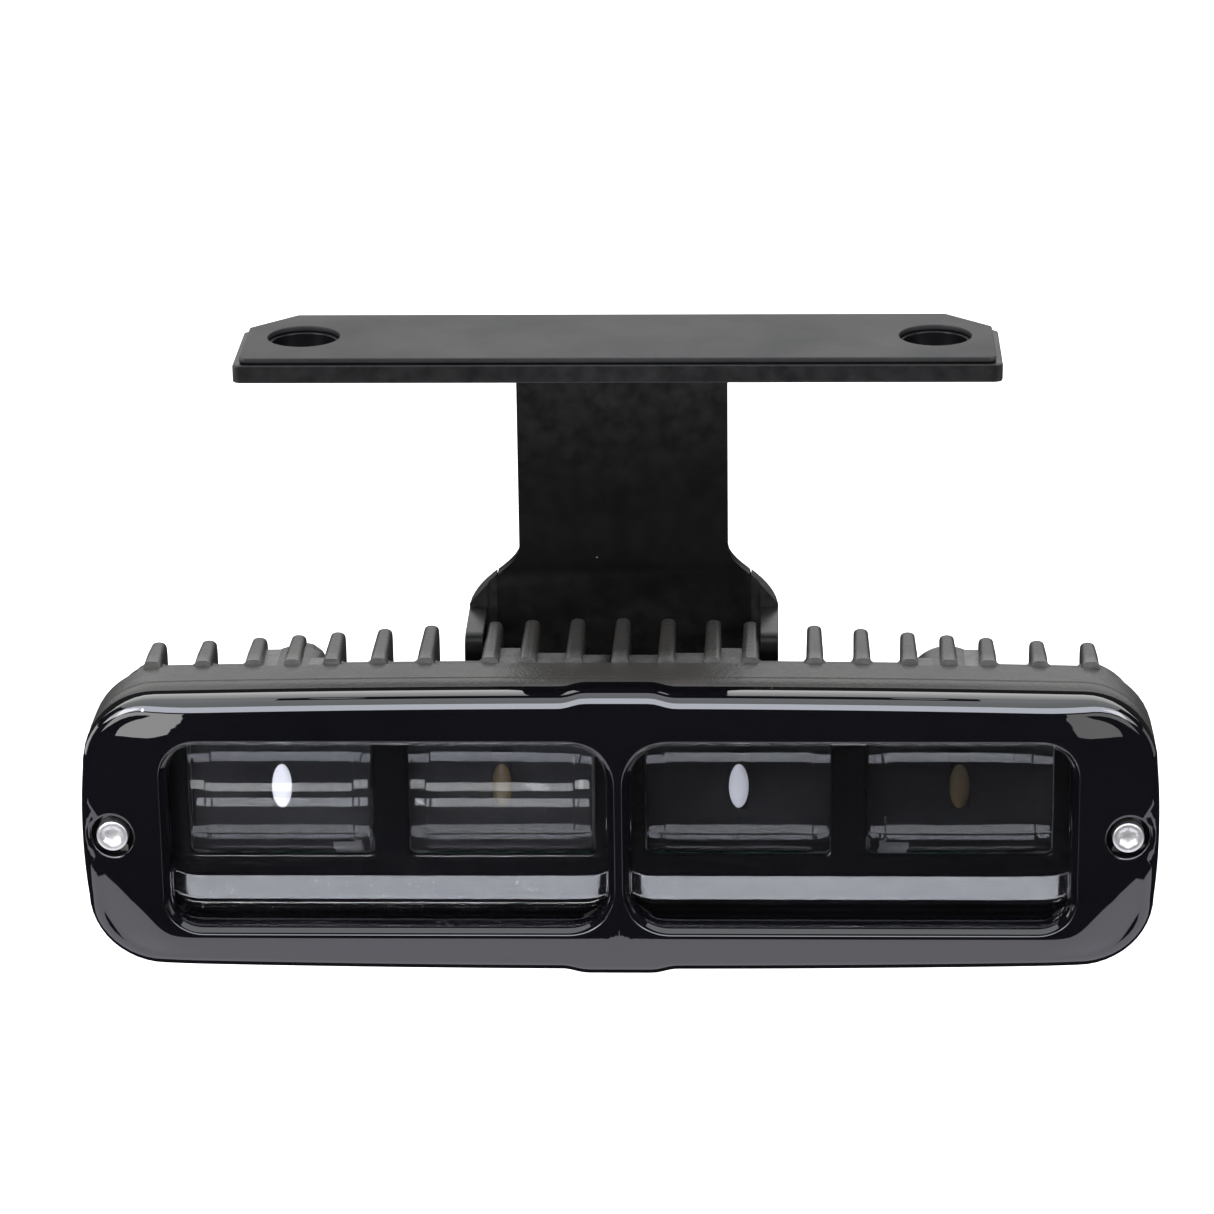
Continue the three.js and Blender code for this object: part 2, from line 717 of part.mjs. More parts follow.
function cableGland() {
  const stem = rod("y", 0, 0, glandThread, cavityBack - bossDepth + 1, 0.5, 20);
  const hex = rod("y", 0, 0, glandHexRadius, 0, glandHexLength, 6);
  const neck = rod("y", 0, 0, glandSealRadius, glandHexLength - 1, glandHexLength + glandNutLength / 2, 20);
  const bore = rod("y", 0, 0, glandBore, cavityBack - bossDepth - 1, glandHexLength + glandNutLength, 16);
  return cut(join(stem, hex, neck), bore);
}

function glandSeal() {
  const low = glandHexLength + glandNutLength / 2 + seat;
  const high = glandHexLength + glandNutLength - 1;
  return cut(rod("y", 0, 0, glandSealRadius, low, high), rod("y", 0, 0, glandBore, low - 1, high + 1));
}

function glandNut() {
  const end = glandHexLength + glandNutLength;
  return turned([
    [glandBore + slip, end],
    [glandBore + slip, end - 1 + seat],
    [glandSealRadius + fit, end - 1 + seat],
    [glandSealRadius + fit, glandHexLength + seat],
    [glandNutRadius, glandHexLength + seat],
    [glandNutRadius, end - 2],
    [glandNutRadius * 0.7, end],
    [glandBore + slip, end],
  ]);
}

function breatherVent() {
  const cap = rod("y", 0, 0, ventRadius, 0, ventHeight, 24);
  const stem = rod("y", 0, 0, ventStem, cavityBack - bossDepth + 1, 0.5, 16);
  return cap.add(stem);
}

// ---- Bracket pieces, drawn in the part's own frame --------------------------------------------------

// The plate's plan with its rear corners cut off, shrunk by an inset.
function plateOutline(inset) {
  const x = plateLength / 2 - inset;
  const y = plateDepth / 2 - inset;
  const chamfer = plateChamfer - inset * (2 - Math.SQRT2);
  const shape = new THREE.Shape();
  shape.absarc(-x + plateCorner, -y + plateCorner, plateCorner, Math.PI, 1.5 * Math.PI);
  shape.absarc(x - plateCorner, -y + plateCorner, plateCorner, -Math.PI / 2, 0);
  shape.lineTo(x, y - chamfer);
  shape.lineTo(x - chamfer, y);
  shape.lineTo(-x + chamfer, y);
  shape.lineTo(-x, y - chamfer);
  shape.closePath();
  return shape;
}

// A flat sheet of the plate's outline with the two bolt holes through it.
function drilledSheet(inset, radius, low, high) {
  const sheet = prism("z", plateOutline(inset), low, high, { curve: 3 });
  const holes = SIDES.map(([, way]) => rod("z", (way * holeSpacing) / 2, 0, radius, low - 1, high + 1, 32));
  return cut(sheet, ...holes);
}

function topPlate() {
  return drilledSheet(0, holeRadius, plateBottom, plateTop);
}

function mountingPad() {
  return drilledSheet(padInset, holeRadius + padHoleGrow, plateTop, 0);
}

// Front view of the leg: straight, then an S-curve out to the width of the ears.
function legOutline() {
  const [narrow, wide] = [legWidth / 2, earOuter];
  const [top, bottom] = [-dropHeight + flareTop, -dropHeight + flareBottom];
  const end = -dropHeight + legBelowPivotTop;
  const half = (top + bottom) / 2;
  const shape = new THREE.Shape();
  shape.moveTo(-narrow, plateBottom);
  shape.lineTo(-narrow, top);
  shape.bezierCurveTo(-narrow, half, -wide, half, -wide, bottom);
  shape.lineTo(-wide, end);
  shape.lineTo(wide, end);
  shape.lineTo(wide, bottom);
  shape.bezierCurveTo(wide, half, narrow, half, narrow, top);
  shape.lineTo(narrow, plateBottom);
  shape.closePath();
  return shape;
}

// Side view of an ear: it wraps round the pivot and runs back into the leg.
function earOutline() {
  const front = pivotFromPlateMiddle - earFrontReach;
  const back = pivotFromPlateMiddle + legBehindPivot + legThickness;
  const top = -dropHeight + flareBottom;
  const corner = 3;
  const shape = new THREE.Shape();
  shape.moveTo(back, top);
  shape.absarc(front + corner, top - corner, corner, Math.PI / 2, Math.PI);
  shape.absarc(pivotFromPlateMiddle, -dropHeight, earRadius, Math.PI * 0.95, Math.PI * 1.75);
  shape.lineTo(back, -dropHeight + legBelowPivotTop);
  shape.closePath();
  return shape;
}

function dropLeg() {
  const front = pivotFromPlateMiddle + legBehindPivot;
  let leg = prism("y", legOutline(), front, front + legThickness, { curve: 8 });
  for (const [, way] of SIDES) {
    const side = ordered(way * earInner, way * earOuter);
    leg = leg.add(prism("x", earOutline(), ...side));
    const hole = rod("x", pivotFromPlateMiddle, -dropHeight, boltRadius + slip, side[0] - 1, side[1] + 1);
    leg = leg.subtract(hole);
  }
  return leg;
}

// ---- Assembly --------------------------------------------------------------------------------------

const fogLight = new THREE.Group();
const lamp = new THREE.Group();
lamp.position.set(0, pivotFromPlateMiddle - pivotFromFront, -dropHeight - pivotAboveMiddle);
fogLight.add(lamp);

function place(group, name, made, material, [x, y, z] = [0, 0, 0], turn = 0) {
  const mesh = new THREE.Mesh(geometryOf(made), material);
  mesh.name = name;
  mesh.position.set(x, y, z);
  mesh.rotation.z = turn;
  group.add(mesh);
}

place(fogLight, "top_plate", topPlate(), paintedSteel);
place(fogLight, "mounting_pad", mountingPad(), padRubber);
place(fogLight, "drop_leg", dropLeg(), paintedSteel);

place(lamp, "housing", housing(), castBlack);
place(lamp, "bezel", bezel(), glossBlack);
place(lamp, "cover_lens", coverLens(), clearLens);
place(lamp, "lens_gasket", lensGasket(), sealRubber);
place(lamp, "driver_board", driverBoard(), boardGreen);

const trimScrew = screw({
  radius: trimScrewRadius,
  head: trimScrewHead,
  headHeight: trimScrewHeadHeight,
  length: trimScrewLength,
  socket: trimScrewSocket,
  dome: 0.5,
});
const boardScrew = screw({
  radius: boardScrewRadius,
  head: boardScrewHead,
  headHeight: boardScrewHeadHeight,
  length: boardThickness + thermalPadThickness + boardScrewGrip,
  socket: boardScrewRadius * 0.8,
  dome: 0.4,
});
const pivotBolt = screw({
  radius: boltRadius,
  head: boltHeadRadius,
  headHeight: boltHeadHeight,
  length: springWasherThickness + washerThickness + legThickness + slip + boltGrip,
  socket: boltSocket,
  dome: 1.6,
});

for (const [side, way] of SIDES) {
  place(lamp, `optic_holder_${side}`, opticHolder(way), holderBlack);
  place(lamp, `led_board_${side}`, ledBoard(way), boardBlack);
  place(lamp, `thermal_pad_${side}`, thermalPad(way), padGrey);
  place(lamp, `driver_coil_${side}`, driverCoil(way * coilX), coilFerrite);
  place(lamp, `driver_capacitor_${side}`, driverCapacitor(way * capacitorX), capacitorCan);
  place(lamp, `board_jumper_${side}`, boardJumper(way * (windowMiddle + jumperX)), glandPlastic);
  opticPlaces(way).forEach((x, i) => {
    place(lamp, `optic_${side}_${i + 1}`, optic(x), clearLens);
    place(lamp, `led_emitter_${side}_${i + 1}`, emitter(x), phosphor);
  });
  boardScrewHeights().forEach((z, i) => {
    const at = [way * windowMiddle, boardFront - seat, z];
    place(lamp, `led_board_screw_${side}_${i + 1}`, boardScrew, stainless, at);
  });
  const driverScrewAt = [way * driverScrewX(), boardFront - seat, driverMiddle];
  place(lamp, `driver_screw_${side}`, boardScrew, stainless, driverScrewAt);
  const trimX = way * (halfWidth - trimScrewFromEnd);
  place(lamp, `bezel_screw_${side}`, trimScrew, stainless, [trimX, trimScrewSeat - seat, 0]);

  // Pivot hardware, from the ear outwards
  const stack = earOuter + seat;
  const at = (x) => [way * x, pivotFromFront, pivotAboveMiddle];
  const outwards = way > 0 ? 0 : Math.PI;
  const flat = washer(washerRadius, boltRadius + slip, washerThickness);
  const spring = washer(springWasherRadius, boltRadius + slip, springWasherThickness, 1);
  place(lamp, `pivot_washer_${side}`, flat, zincSteel, at(stack), outwards);
  place(lamp, `spring_washer_${side}`, spring, zincSteel, at(stack + washerThickness + seat), outwards);
  const headSeat = stack + washerThickness + springWasherThickness + 2 * seat;
  place(lamp, `pivot_bolt_${side}`, pivotBolt, stainless, at(headSeat), (way * Math.PI) / 2);
}

place(lamp, "cable_gland", cableGland(), glandPlastic, [-bossX, bossDepth + seat, bossZ]);
place(lamp, "gland_seal", glandSeal(), sealRubber, [-bossX, bossDepth + seat, bossZ]);
place(lamp, "gland_nut", glandNut(), glandPlastic, [-bossX, bossDepth + seat, bossZ]);
place(lamp, "breather_vent", breatherVent(), glandPlastic, [bossX, bossDepth + seat, bossZ]);

export default fogLight;
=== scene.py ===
"""LED fog light in its drop bracket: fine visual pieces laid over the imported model, with studio lights."""
import math

import bmesh
import bpy
from mathutils import Matrix, Vector


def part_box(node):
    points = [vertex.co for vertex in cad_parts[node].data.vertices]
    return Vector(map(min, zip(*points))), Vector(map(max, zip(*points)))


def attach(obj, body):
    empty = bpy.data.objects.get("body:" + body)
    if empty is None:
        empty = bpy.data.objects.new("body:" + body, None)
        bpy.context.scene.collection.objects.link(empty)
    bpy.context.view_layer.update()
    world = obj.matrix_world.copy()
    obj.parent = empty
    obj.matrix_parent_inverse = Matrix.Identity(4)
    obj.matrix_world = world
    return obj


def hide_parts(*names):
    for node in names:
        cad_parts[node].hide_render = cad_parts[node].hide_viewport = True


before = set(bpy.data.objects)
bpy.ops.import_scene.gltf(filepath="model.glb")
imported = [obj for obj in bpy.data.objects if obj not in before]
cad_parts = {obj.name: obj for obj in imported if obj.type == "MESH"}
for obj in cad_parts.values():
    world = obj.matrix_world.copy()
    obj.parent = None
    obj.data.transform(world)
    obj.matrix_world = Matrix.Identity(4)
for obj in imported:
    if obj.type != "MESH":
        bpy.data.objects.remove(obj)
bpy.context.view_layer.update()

MM = 0.001
MERGE = 2e-6
bezel_low, bezel_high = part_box("bezel")
LAMP = Vector((0, bezel_low[1], (bezel_low[2] + bezel_high[2]) / 2))
BRACKET = Vector((0, 0, 0))


# ---- Camera ------------------------------------------------------------------------------------

def add_camera(place, yaw, pitch, roll, lens):
    """A camera at place; it looks along +Y when all three angles are 0."""
    yaw, pitch, roll = (math.radians(angle) for angle in (yaw, pitch, roll))
    ahead = Vector((-math.sin(yaw) * math.cos(pitch), math.cos(yaw) * math.cos(pitch), -math.sin(pitch)))
    level = Vector((math.cos(yaw), math.sin(yaw), 0))
    over = level.cross(ahead)
    right = math.cos(roll) * level + math.sin(roll) * over
    up = math.cos(roll) * over - math.sin(roll) * level
    data = bpy.data.cameras.new("camera")
    data.lens = lens
    data.sensor_width = 36
    data.clip_start = 0.01
    data.clip_end = 50
    camera = bpy.data.objects.new("camera", data)
    turn = Matrix((right, up, -ahead)).transposed().to_4x4()
    camera.matrix_world = Matrix.Translation(place) @ turn
    bpy.context.scene.collection.objects.link(camera)
    bpy.context.scene.camera = camera


add_camera(Vector((26.8, -766.1, 227.95)) * MM, yaw=2.2, pitch=19.9, roll=-0.75, lens=137.9)


# ---- Patterns shared by the finishes -------------------------------------------------------------

def pattern(name, inputs, output):
    """An empty node group with a Place vector, named values and one output."""
    tree = bpy.data.node_groups.new(name, "ShaderNodeTree")
    tree.interface.new_socket("Place", in_out="INPUT", socket_type="NodeSocketVector")
    for label, value in inputs.items():
        socket = tree.interface.new_socket(label, in_out="INPUT", socket_type="NodeSocketFloat")
        socket.default_value = value
    tree.interface.new_socket(output, in_out="OUTPUT", socket_type="NodeSocketFloat")
    return tree, tree.nodes.new("NodeGroupInput"), tree.nodes.new("NodeGroupOutput")


def node(tree, kind, inputs=None, **settings):
    """A node with its settings and inputs; an input is a value or the output of another node."""
    made = tree.nodes.new(kind)
    for key, value in settings.items():
        setattr(made, key, value)
    for key, value in (inputs or {}).items():
        if isinstance(value, bpy.types.NodeSocket):
            tree.links.new(value, made.inputs[key])
        else:
            made.inputs[key].default_value = value
    return made


def math_node(tree, operation, first, second=0.0, third=0.0):
    return node(tree, "ShaderNodeMath", {0: first, 1: second, 2: third}, operation=operation).outputs[0]


def make_dust():
    """Sparse pale specks of different sizes: Amount is the share of cells that hold one."""
    tree, given, out = pattern("dust", {"Scale": 300, "Amount": 0.05, "Size": 0.2}, "Mask")
    cells = node(tree, "ShaderNodeTexVoronoi", {"Vector": given.outputs["Place"],
                                                "Scale": given.outputs["Scale"]})
    parts = node(tree, "ShaderNodeSeparateColor", {"Color": cells.outputs["Color"]})
    kept = math_node(tree, "LESS_THAN", parts.outputs[0], given.outputs["Amount"])
    reach = math_node(tree, "MULTIPLY", given.outputs["Size"], parts.outputs[1])
    inside = math_node(tree, "LESS_THAN", cells.outputs["Distance"], reach)
    tree.links.new(math_node(tree, "MULTIPLY", kept, inside), out.inputs["Mask"])
    return tree


def make_grain():
    """Fine all-over relief of a sprayed or moulded surface, between 0 and 1."""
    tree, given, out = pattern("grain", {"Scale": 1500, "Coarse": 0.3}, "Height")
    fine = node(tree, "ShaderNodeTexNoise", {"Vector": given.outputs["Place"],
                                             "Scale": given.outputs["Scale"],
                                             "Detail": 2.0, "Roughness": 0.6})
    wide_scale = math_node(tree, "MULTIPLY", given.outputs["Scale"], 0.22)
    wide = node(tree, "ShaderNodeTexNoise", {"Vector": given.outputs["Place"],
                                             "Scale": wide_scale, "Detail": 1.0})
    both = node(tree, "ShaderNodeMix", {0: given.outputs["Coarse"], 2: fine.outputs[0], 3: wide.outputs[0]})
    tree.links.new(both.outputs[0], out.inputs["Height"])
    return tree


def make_patches():
    """Soft uneven areas, such as handling marks and spray shading, from Low to High."""
    tree, given, out = pattern("patches", {"Scale": 30, "Low": 0.0, "High": 1.0}, "Value")
    cloud = node(tree, "ShaderNodeTexNoise", {"Vector": given.outputs["Place"],
                                              "Scale": given.outputs["Scale"],
                                              "Detail": 4.0, "Roughness": 0.55})
    ranged = node(tree, "ShaderNodeMapRange", {0: cloud.outputs[0], 1: 0.3, 2: 0.7,
                                               3: given.outputs["Low"], 4: given.outputs["High"]})
    tree.links.new(ranged.outputs[0], out.inputs["Value"])
    return tree


def make_worn_edge():
    """Where the surface bends outwards sharply, broken up by noise."""
    tree, given, out = pattern("worn_edge", {"From": 0.53, "To": 0.6, "Scale": 400}, "Mask")
    shape = tree.nodes.new("ShaderNodeNewGeometry")
    edge = node(tree, "ShaderNodeMapRange", {0: shape.outputs["Pointiness"], 1: given.outputs["From"],
                                             2: given.outputs["To"], 3: 0.0, 4: 1.0})
    cloud = node(tree, "ShaderNodeTexNoise", {"Vector": given.outputs["Place"],
                                              "Scale": given.outputs["Scale"]})
    broken = math_node(tree, "MULTIPLY", edge.outputs[0], cloud.outputs[0])
    tree.links.new(broken, out.inputs["Mask"])
    return tree


DUST, GRAIN, PATCHES, WORN_EDGE = make_dust(), make_grain(), make_patches(), make_worn_edge()


# ---- Finishes ------------------------------------------------------------------------------------

def use(tree, group, place, **values):
    """Places a shared pattern in a material and gives its output."""
    made = tree.nodes.new("ShaderNodeGroup")
    made.node_tree = group
    tree.links.new(place, made.inputs["Place"])
    for key, value in values.items():
        made.inputs[key].default_value = value
    return made.outputs[0]


def mixed(tree, share, first, second):
    """One colour changing to another as share goes from 0 to 1."""
    made = node(tree, "ShaderNodeMix", data_type="RGBA")
    tree.links.new(share, made.inputs[0])
    for socket, colour in ((made.inputs[6], first), (made.inputs[7], second)):
        if isinstance(colour, bpy.types.NodeSocket):
            tree.links.new(colour, socket)
        else:
            socket.default_value = (*colour, 1)
    return made.outputs[2]


def finish(name, colour, shade, rough, grain=(1500, 0.02), dust=(300, 0.0, 0.2),
           dust_colour=(0.5, 0.5, 0.5), edge=0.0, edge_colour=(0.3, 0.3, 0.3), patch=30, **constants):
    """A finish: colour to shade in patches, rough = (low, high), grain = (scale, strength),
    dust = (scale, amount, size), and edge = how strongly the edges are worn."""
    made = bpy.data.materials.new(name)
    made.use_nodes = True
    tree = made.node_tree
    shader = tree.nodes["Principled BSDF"]
    for key, value in constants.items():
        shader.inputs[key.replace("_", " ")].default_value = value
    place = tree.nodes.new("ShaderNodeTexCoord").outputs["Object"]
    cloud = use(tree, PATCHES, place, Scale=patch)
    base = mixed(tree, cloud, colour, shade)
    if edge:
        worn = math_node(tree, "MULTIPLY", use(tree, WORN_EDGE, place), edge)
        base = mixed(tree, worn, base, edge_colour)
    if dust[1]:
        specks = use(tree, DUST, place, Scale=dust[0], Amount=dust[1], Size=dust[2])
        base = mixed(tree, specks, base, dust_colour)
    tree.links.new(base, shader.inputs["Base Color"])
    level = use(tree, PATCHES, place, Scale=patch * 1.7, Low=rough[0], High=rough[1])
    tree.links.new(level, shader.inputs["Roughness"])
    height = use(tree, GRAIN, place, Scale=grain[0])
    bump = node(tree, "ShaderNodeBump", {"Strength": grain[1], "Distance": 0.001, "Height": height})
    tree.links.new(bump.outputs[0], shader.inputs["Normal"])
    return made


painted_steel = finish("satin_paint", (0.0015, 0.0015, 0.002), (0.003, 0.003, 0.0036), (0.27, 0.34),
                       grain=(2200, 0.05), dust=(420, 0.02, 0.12), edge=0.5, edge_colour=(0.10, 0.10, 0.10),
                       Specular_IOR_Level=0.35)
pad_sheet = finish("satin_sheet", (0.010, 0.010, 0.011), (0.016, 0.016, 0.017), (0.42, 0.54),
                   grain=(2600, 0.04), dust=(520, 0.03, 0.16), edge=0.3, edge_colour=(0.12, 0.12, 0.12),
                   Specular_IOR_Level=0.4)
powder_coat = finish("powder_coat", (0.026, 0.025, 0.024), (0.038, 0.036, 0.034), (0.31, 0.40),
                     grain=(1700, 0.20), dust=(380, 0.02, 0.12), edge=0.8, edge_colour=(0.16, 0.158, 0.155))
piano_black = finish("piano_black", (0.0012, 0.0012, 0.0018), (0.0018, 0.0018, 0.0026), (0.025, 0.045),
                     grain=(900, 0.0005), dust=(260, 0.012, 0.09), dust_colour=(0.35, 0.35, 0.37),
                     Coat_Weight=0.6, Coat_Roughness=0.02, Specular_IOR_Level=0.6)
dark_holder = finish("dark_holder", (0.0012, 0.0012, 0.0018), (0.002, 0.002, 0.003), (0.06, 0.09),
                     grain=(1200, 0.006), dust=(300, 0.01, 0.10), Coat_Weight=0.5, Coat_Roughness=0.04)
rubber = finish("rubber", (0.015, 0.015, 0.015), (0.024, 0.024, 0.023), (0.6, 0.75), grain=(1600, 0.12))
nylon = finish("nylon", (0.012, 0.012, 0.013), (0.020, 0.020, 0.021), (0.38, 0.5), grain=(1500, 0.08),
               edge=0.4, edge_colour=(0.08, 0.08, 0.08))
stainless = finish("stainless", (0.80, 0.79, 0.77), (0.66, 0.65, 0.64), (0.30, 0.44), grain=(2500, 0.05),
                   dust=(900, 0.02, 0.2), dust_colour=(0.2, 0.2, 0.2), Metallic=1.0)
zinc_steel = finish("zinc_steel", (0.52, 0.52, 0.54), (0.36, 0.37, 0.40), (0.28, 0.44), grain=(1400, 0.06),
                    Metallic=1.0)
board_mask = finish("board_mask", (0.003, 0.003, 0.004), (0.005, 0.005, 0.006), (0.5, 0.6),
                    grain=(1800, 0.03), Specular_IOR_Level=0.1)
driver_mask = finish("driver_mask", (0.012, 0.05, 0.024), (0.018, 0.075, 0.034), (0.3, 0.4),
                     grain=(1800, 0.04))
# Two copies of one LED cap colour: a darkened amber that paints shade on the second LEDs, and a pale one that
# paints a highlight on the first LEDs.
phosphor = finish("phosphor", (0.030, 0.019, 0.004), (0.042, 0.026, 0.006), (0.25, 0.4), grain=(3000, 0.1))
phosphor_white = finish("phosphor_white", (0.62, 0.63, 0.66), (0.72, 0.72, 0.74), (0.2, 0.3),
                        grain=(3000, 0.05))
soft_pad = finish("soft_pad", (0.30, 0.34, 0.38), (0.36, 0.40, 0.44), (0.7, 0.85), grain=(900, 0.15))
ferrite = finish("ferrite", (0.045, 0.042, 0.038), (0.07, 0.064, 0.058), (0.5, 0.65), grain=(1300, 0.15))
can_metal = finish("can_metal", (0.62, 0.62, 0.64), (0.50, 0.50, 0.53), (0.25, 0.4),
                   grain=(1600, 0.05), Metallic=1.0)
cover_glass = finish("cover_glass", (0.97, 0.98, 1.0), (0.99, 0.99, 1.0), (0.0, 0.006), grain=(600, 0.0008),
                     Transmission_Weight=1.0, IOR=1.45)
optic_glass = finish("optic_glass", (0.93, 0.94, 0.98), (0.97, 0.97, 1.0), (0.0, 0.015), grain=(120, 0.006),
                     Transmission_Weight=1.0, IOR=1.36)


# ---- Shape tools: outlines are in millimetres ------------------------------------------------------

def loft(bm, loops, ring=False):
    """A closed body pulled from loop to loop; a ring ends on its first loop instead of having end faces."""
    first = [bm.verts.new(Vector(place) * MM) for place in loops[0]]
    face = bm.faces.new(first)
    for loop in loops[1:] + (loops[:1] if ring else []):
        face = bmesh.ops.extrude_discrete_faces(bm, faces=[face])["faces"][0]
        for vert, place in zip(face.verts, loop):
            vert.co = Vector(place) * MM
    if ring:
        bmesh.ops.delete(bm, geom=[face], context="FACES_ONLY")
    else:
        bm.faces.new(first)


def skin(bm, rows, closed=False):
    """An open surface pulled from one row of places to the next; gives its first and last edges."""
    verts = [bm.verts.new(Vector(place) * MM) for place in rows[0]]
    ends = verts[1:] + (verts[:1] if closed else [])
    first = edges = [bm.edges.new(pair) for pair in zip(verts, ends)]
    for row in rows[1:]:
        found = {vert.co.to_tuple(): i for i, vert in enumerate(verts)}
        made = bmesh.ops.extrude_edge_only(bm, edges=edges)["geom"]
        fresh = [item for item in made if isinstance(item, bmesh.types.BMVert)]
        edges = [item for item in made if isinstance(item, bmesh.types.BMEdge)]
        edges = [edge for edge in edges if all(vert in fresh for vert in edge.verts)]
        order = {found[vert.co.to_tuple()]: vert for vert in fresh}
        verts = [order[i] for i in range(len(verts))]
        for vert, place in zip(verts, row):
            vert.co = Vector(place) * MM
    return first, edges


def steps(start, end, count, last=True):
    """count even steps from start to end."""
    return [start + (end - start) * i / count for i in range(count + (1 if last else 0))]


def arc(middle, radius, start, end, count, last=True):
    """Places on an arc, by angle in degrees."""
    turns = (math.radians(angle) for angle in steps(start, end, count, last))
    return [(middle[0] + radius * math.cos(turn), middle[1] + radius * math.sin(turn)) for turn in turns]


def rounded(x0, x1, z0, z1, radius, count=6):
    """A rectangle with round corners, anticlockwise."""
    corners = ((x1, z0, -90), (x1, z1, 0), (x0, z1, 90), (x0, z0, 180))
    places = []
    for x, z, start in corners:
        middle = (x - radius if x == x1 else x + radius, z + radius if z == z0 else z - radius)
        places += arc(middle, radius, start, start + 90, count)
    return places


def flat(a, b, level):
    """A place on a sheet that lies level."""
    return a, b, level


def upright(a, b, depth):
    """A place on a sheet that faces the front."""
    return a, depth, b


def circle(middle, radius, count):
    return arc(middle, radius, 0, 360, count, last=False)


def drilled(bm, outline, holes, low, high, place, edge):
    """A flat sheet with holes: outline(inset) and each hole(grow) give its rims, with softened edges."""
    rims = ((edge, low), (0.3 * edge, low + 0.3 * edge), (0, low + edge),
            (0, high - edge), (0.3 * edge, high - 0.3 * edge), (edge, high))
    ends = [skin(bm, [[place(a, b, level) for a, b in rim(inset)] for inset, level in rims], closed=True)
            for rim in (outline, *holes)]
    for side in (0, 1):
        edges = [edge for pair in ends for edge in pair[side]]
        bmesh.ops.triangle_fill(bm, use_beauty=True, edges=edges)


def turned(bm, rows, middle, along, sides=32):
    """A turned body: rows of (radius, height, sides of a polygon or 0) out from middle along an axis."""
    along = Vector(along)
    across = Vector((0, 0, 1)) if abs(along.z) < 0.5 else Vector((1, 0, 0))
    side = along.cross(across)
    loops = []
    for radius, height, flats in rows:
        loop = []
        for i in range(sides):
            turn = 2 * math.pi * i / sides
            reach = radius
            if flats:
                half = math.pi / flats
                reach = radius / math.cos((turn % (2 * half)) - half)
            out = across * math.cos(turn) + side * math.sin(turn)
            loop.append(Vector(middle) + along * height + out * reach)
        loops.append(loop)
    loft(bm, loops)


def local(node_name):
    """A CAD node's box in millimetres on the lamp."""
    low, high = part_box(node_name)
    return [(v - o) / MM for v, o in zip(low, LAMP)], [(v - o) / MM for v, o in zip(high, LAMP)]


def piece(name, bm, where, body, material, nodes, sharp=35, weighted=True):
    """Finishes a mesh as one named piece that stands for its CAD nodes; material may be several."""
    bmesh.ops.remove_doubles(bm, verts=bm.verts, dist=MERGE)
    bmesh.ops.recalc_face_normals(bm, faces=bm.faces)
    bmesh.ops.translate(bm, verts=bm.verts, vec=where)
    mesh = bpy.data.meshes.new(name)
    bm.to_mesh(mesh)
    bm.free()
    mesh.shade_smooth()
    mesh.set_sharp_from_angle(angle=math.radians(sharp))
    for one in material if isinstance(material, (list, tuple)) else (material,):
        mesh.materials.append(one)
    made = bpy.data.objects.new(name, mesh)
    bpy.context.scene.collection.objects.link(made)
    if weighted:
        even = made.modifiers.new("even_normals", "WEIGHTED_NORMAL")
        even.keep_sharp = True
    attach(made, body)
    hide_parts(*nodes)
    return made


# ---- Trim ring -------------------------------------------------------------------------------------

HALF_WIDTH, TOP, CORNER = 92.7, 25.7, 13.0
RUN = 79.1  # from the middle to where the corners start
CROWN, BOW = 0.9, 0.6  # how much the top and the ends curve outwards
PANE = -1.1  # from the window's outline to the clear part of the cover
CENTRE_LINE = 9.8  # half the height of the post's straight part
LENS_SEAT = 4.6
SCREW_X, SCREW_HEAD = 87.0, 3.8


def bulge(x):
    """Extra height of the raised middle of the trim ring."""
    share = min(1.0, max(0.0, (9.8 - abs(x)) / 4.2))
    return 0.8 * share * share * (3 - 2 * share)


def edge_height(x):
    return TOP - CROWN * min(1.0, abs(x) / RUN) ** 2


def outer_chain(inset, middle=None, raised=True):
    """A quarter of the lamp's outline: from the middle of the top to the middle of the right end.
    With middle it starts with the centre line, from mid-height up."""
    top = [(x, edge_height(x) - inset + (bulge(x) if raised else 0))
           for x in steps(0, 10.5, 10, False) + steps(10.5, RUN, 26, False)]
    side = TOP - CROWN - CORNER
    corner = arc((RUN, side), CORNER - inset, 90, 0, 12, False)
    end = [(RUN + CORNER - inset + BOW * (1 - (z / side) ** 2), z) for z in steps(side, 0, 6)]
    line = []
    if middle is not None:
        line = [(0, z) for z in steps(0, middle, 5, False) + steps(middle, top[0][1], 5, False)]
    return line + top + corner + end


def window_chain(grow):
    """A quarter of the right window's outline, with as many places as the outer chain with its line."""
    left, right, high = 0.8 - grow, 78.4 + grow, 17.8 + grow
    inner, outer = 8.0 + grow, 6.5 + grow
    up = [(left, z) for z in steps(0, high - inner, 5, False)]
    bend = arc((left + inner, high - inner), inner, 180, 135, 5, False)
    bend += arc((left + inner, high - inner), inner, 135, 90, 10, False)
    top = [(x, high) for x in steps(left + inner, right - outer, 26, False)]
    corner = arc((right - outer, high - outer), outer, 90, 0, 12, False)
    down = [(right, z) for z in steps(high - outer, 0, 6)]
    return up + bend + top + corner + down


def recess_chain(right, high, radius, middle):
    """A quarter of a plain rounded rectangle, with the same places as the other chains."""
    line = [(0, z) for z in steps(0, middle, 5, False) + steps(middle, high, 5, False)]
    top = [(x, high) for x in steps(0, 10.5, 10, False) + steps(10.5, right - radius, 26, False)]
    corner = arc((right - radius, high - radius), radius, 90, 0, 12, False)
    end = [(right, z) for z in steps(high - radius, 0, 6)]
    return line + top + corner + end


def eased(distance, width):
    return (distance + math.sqrt(distance * distance + width * width)) / 2


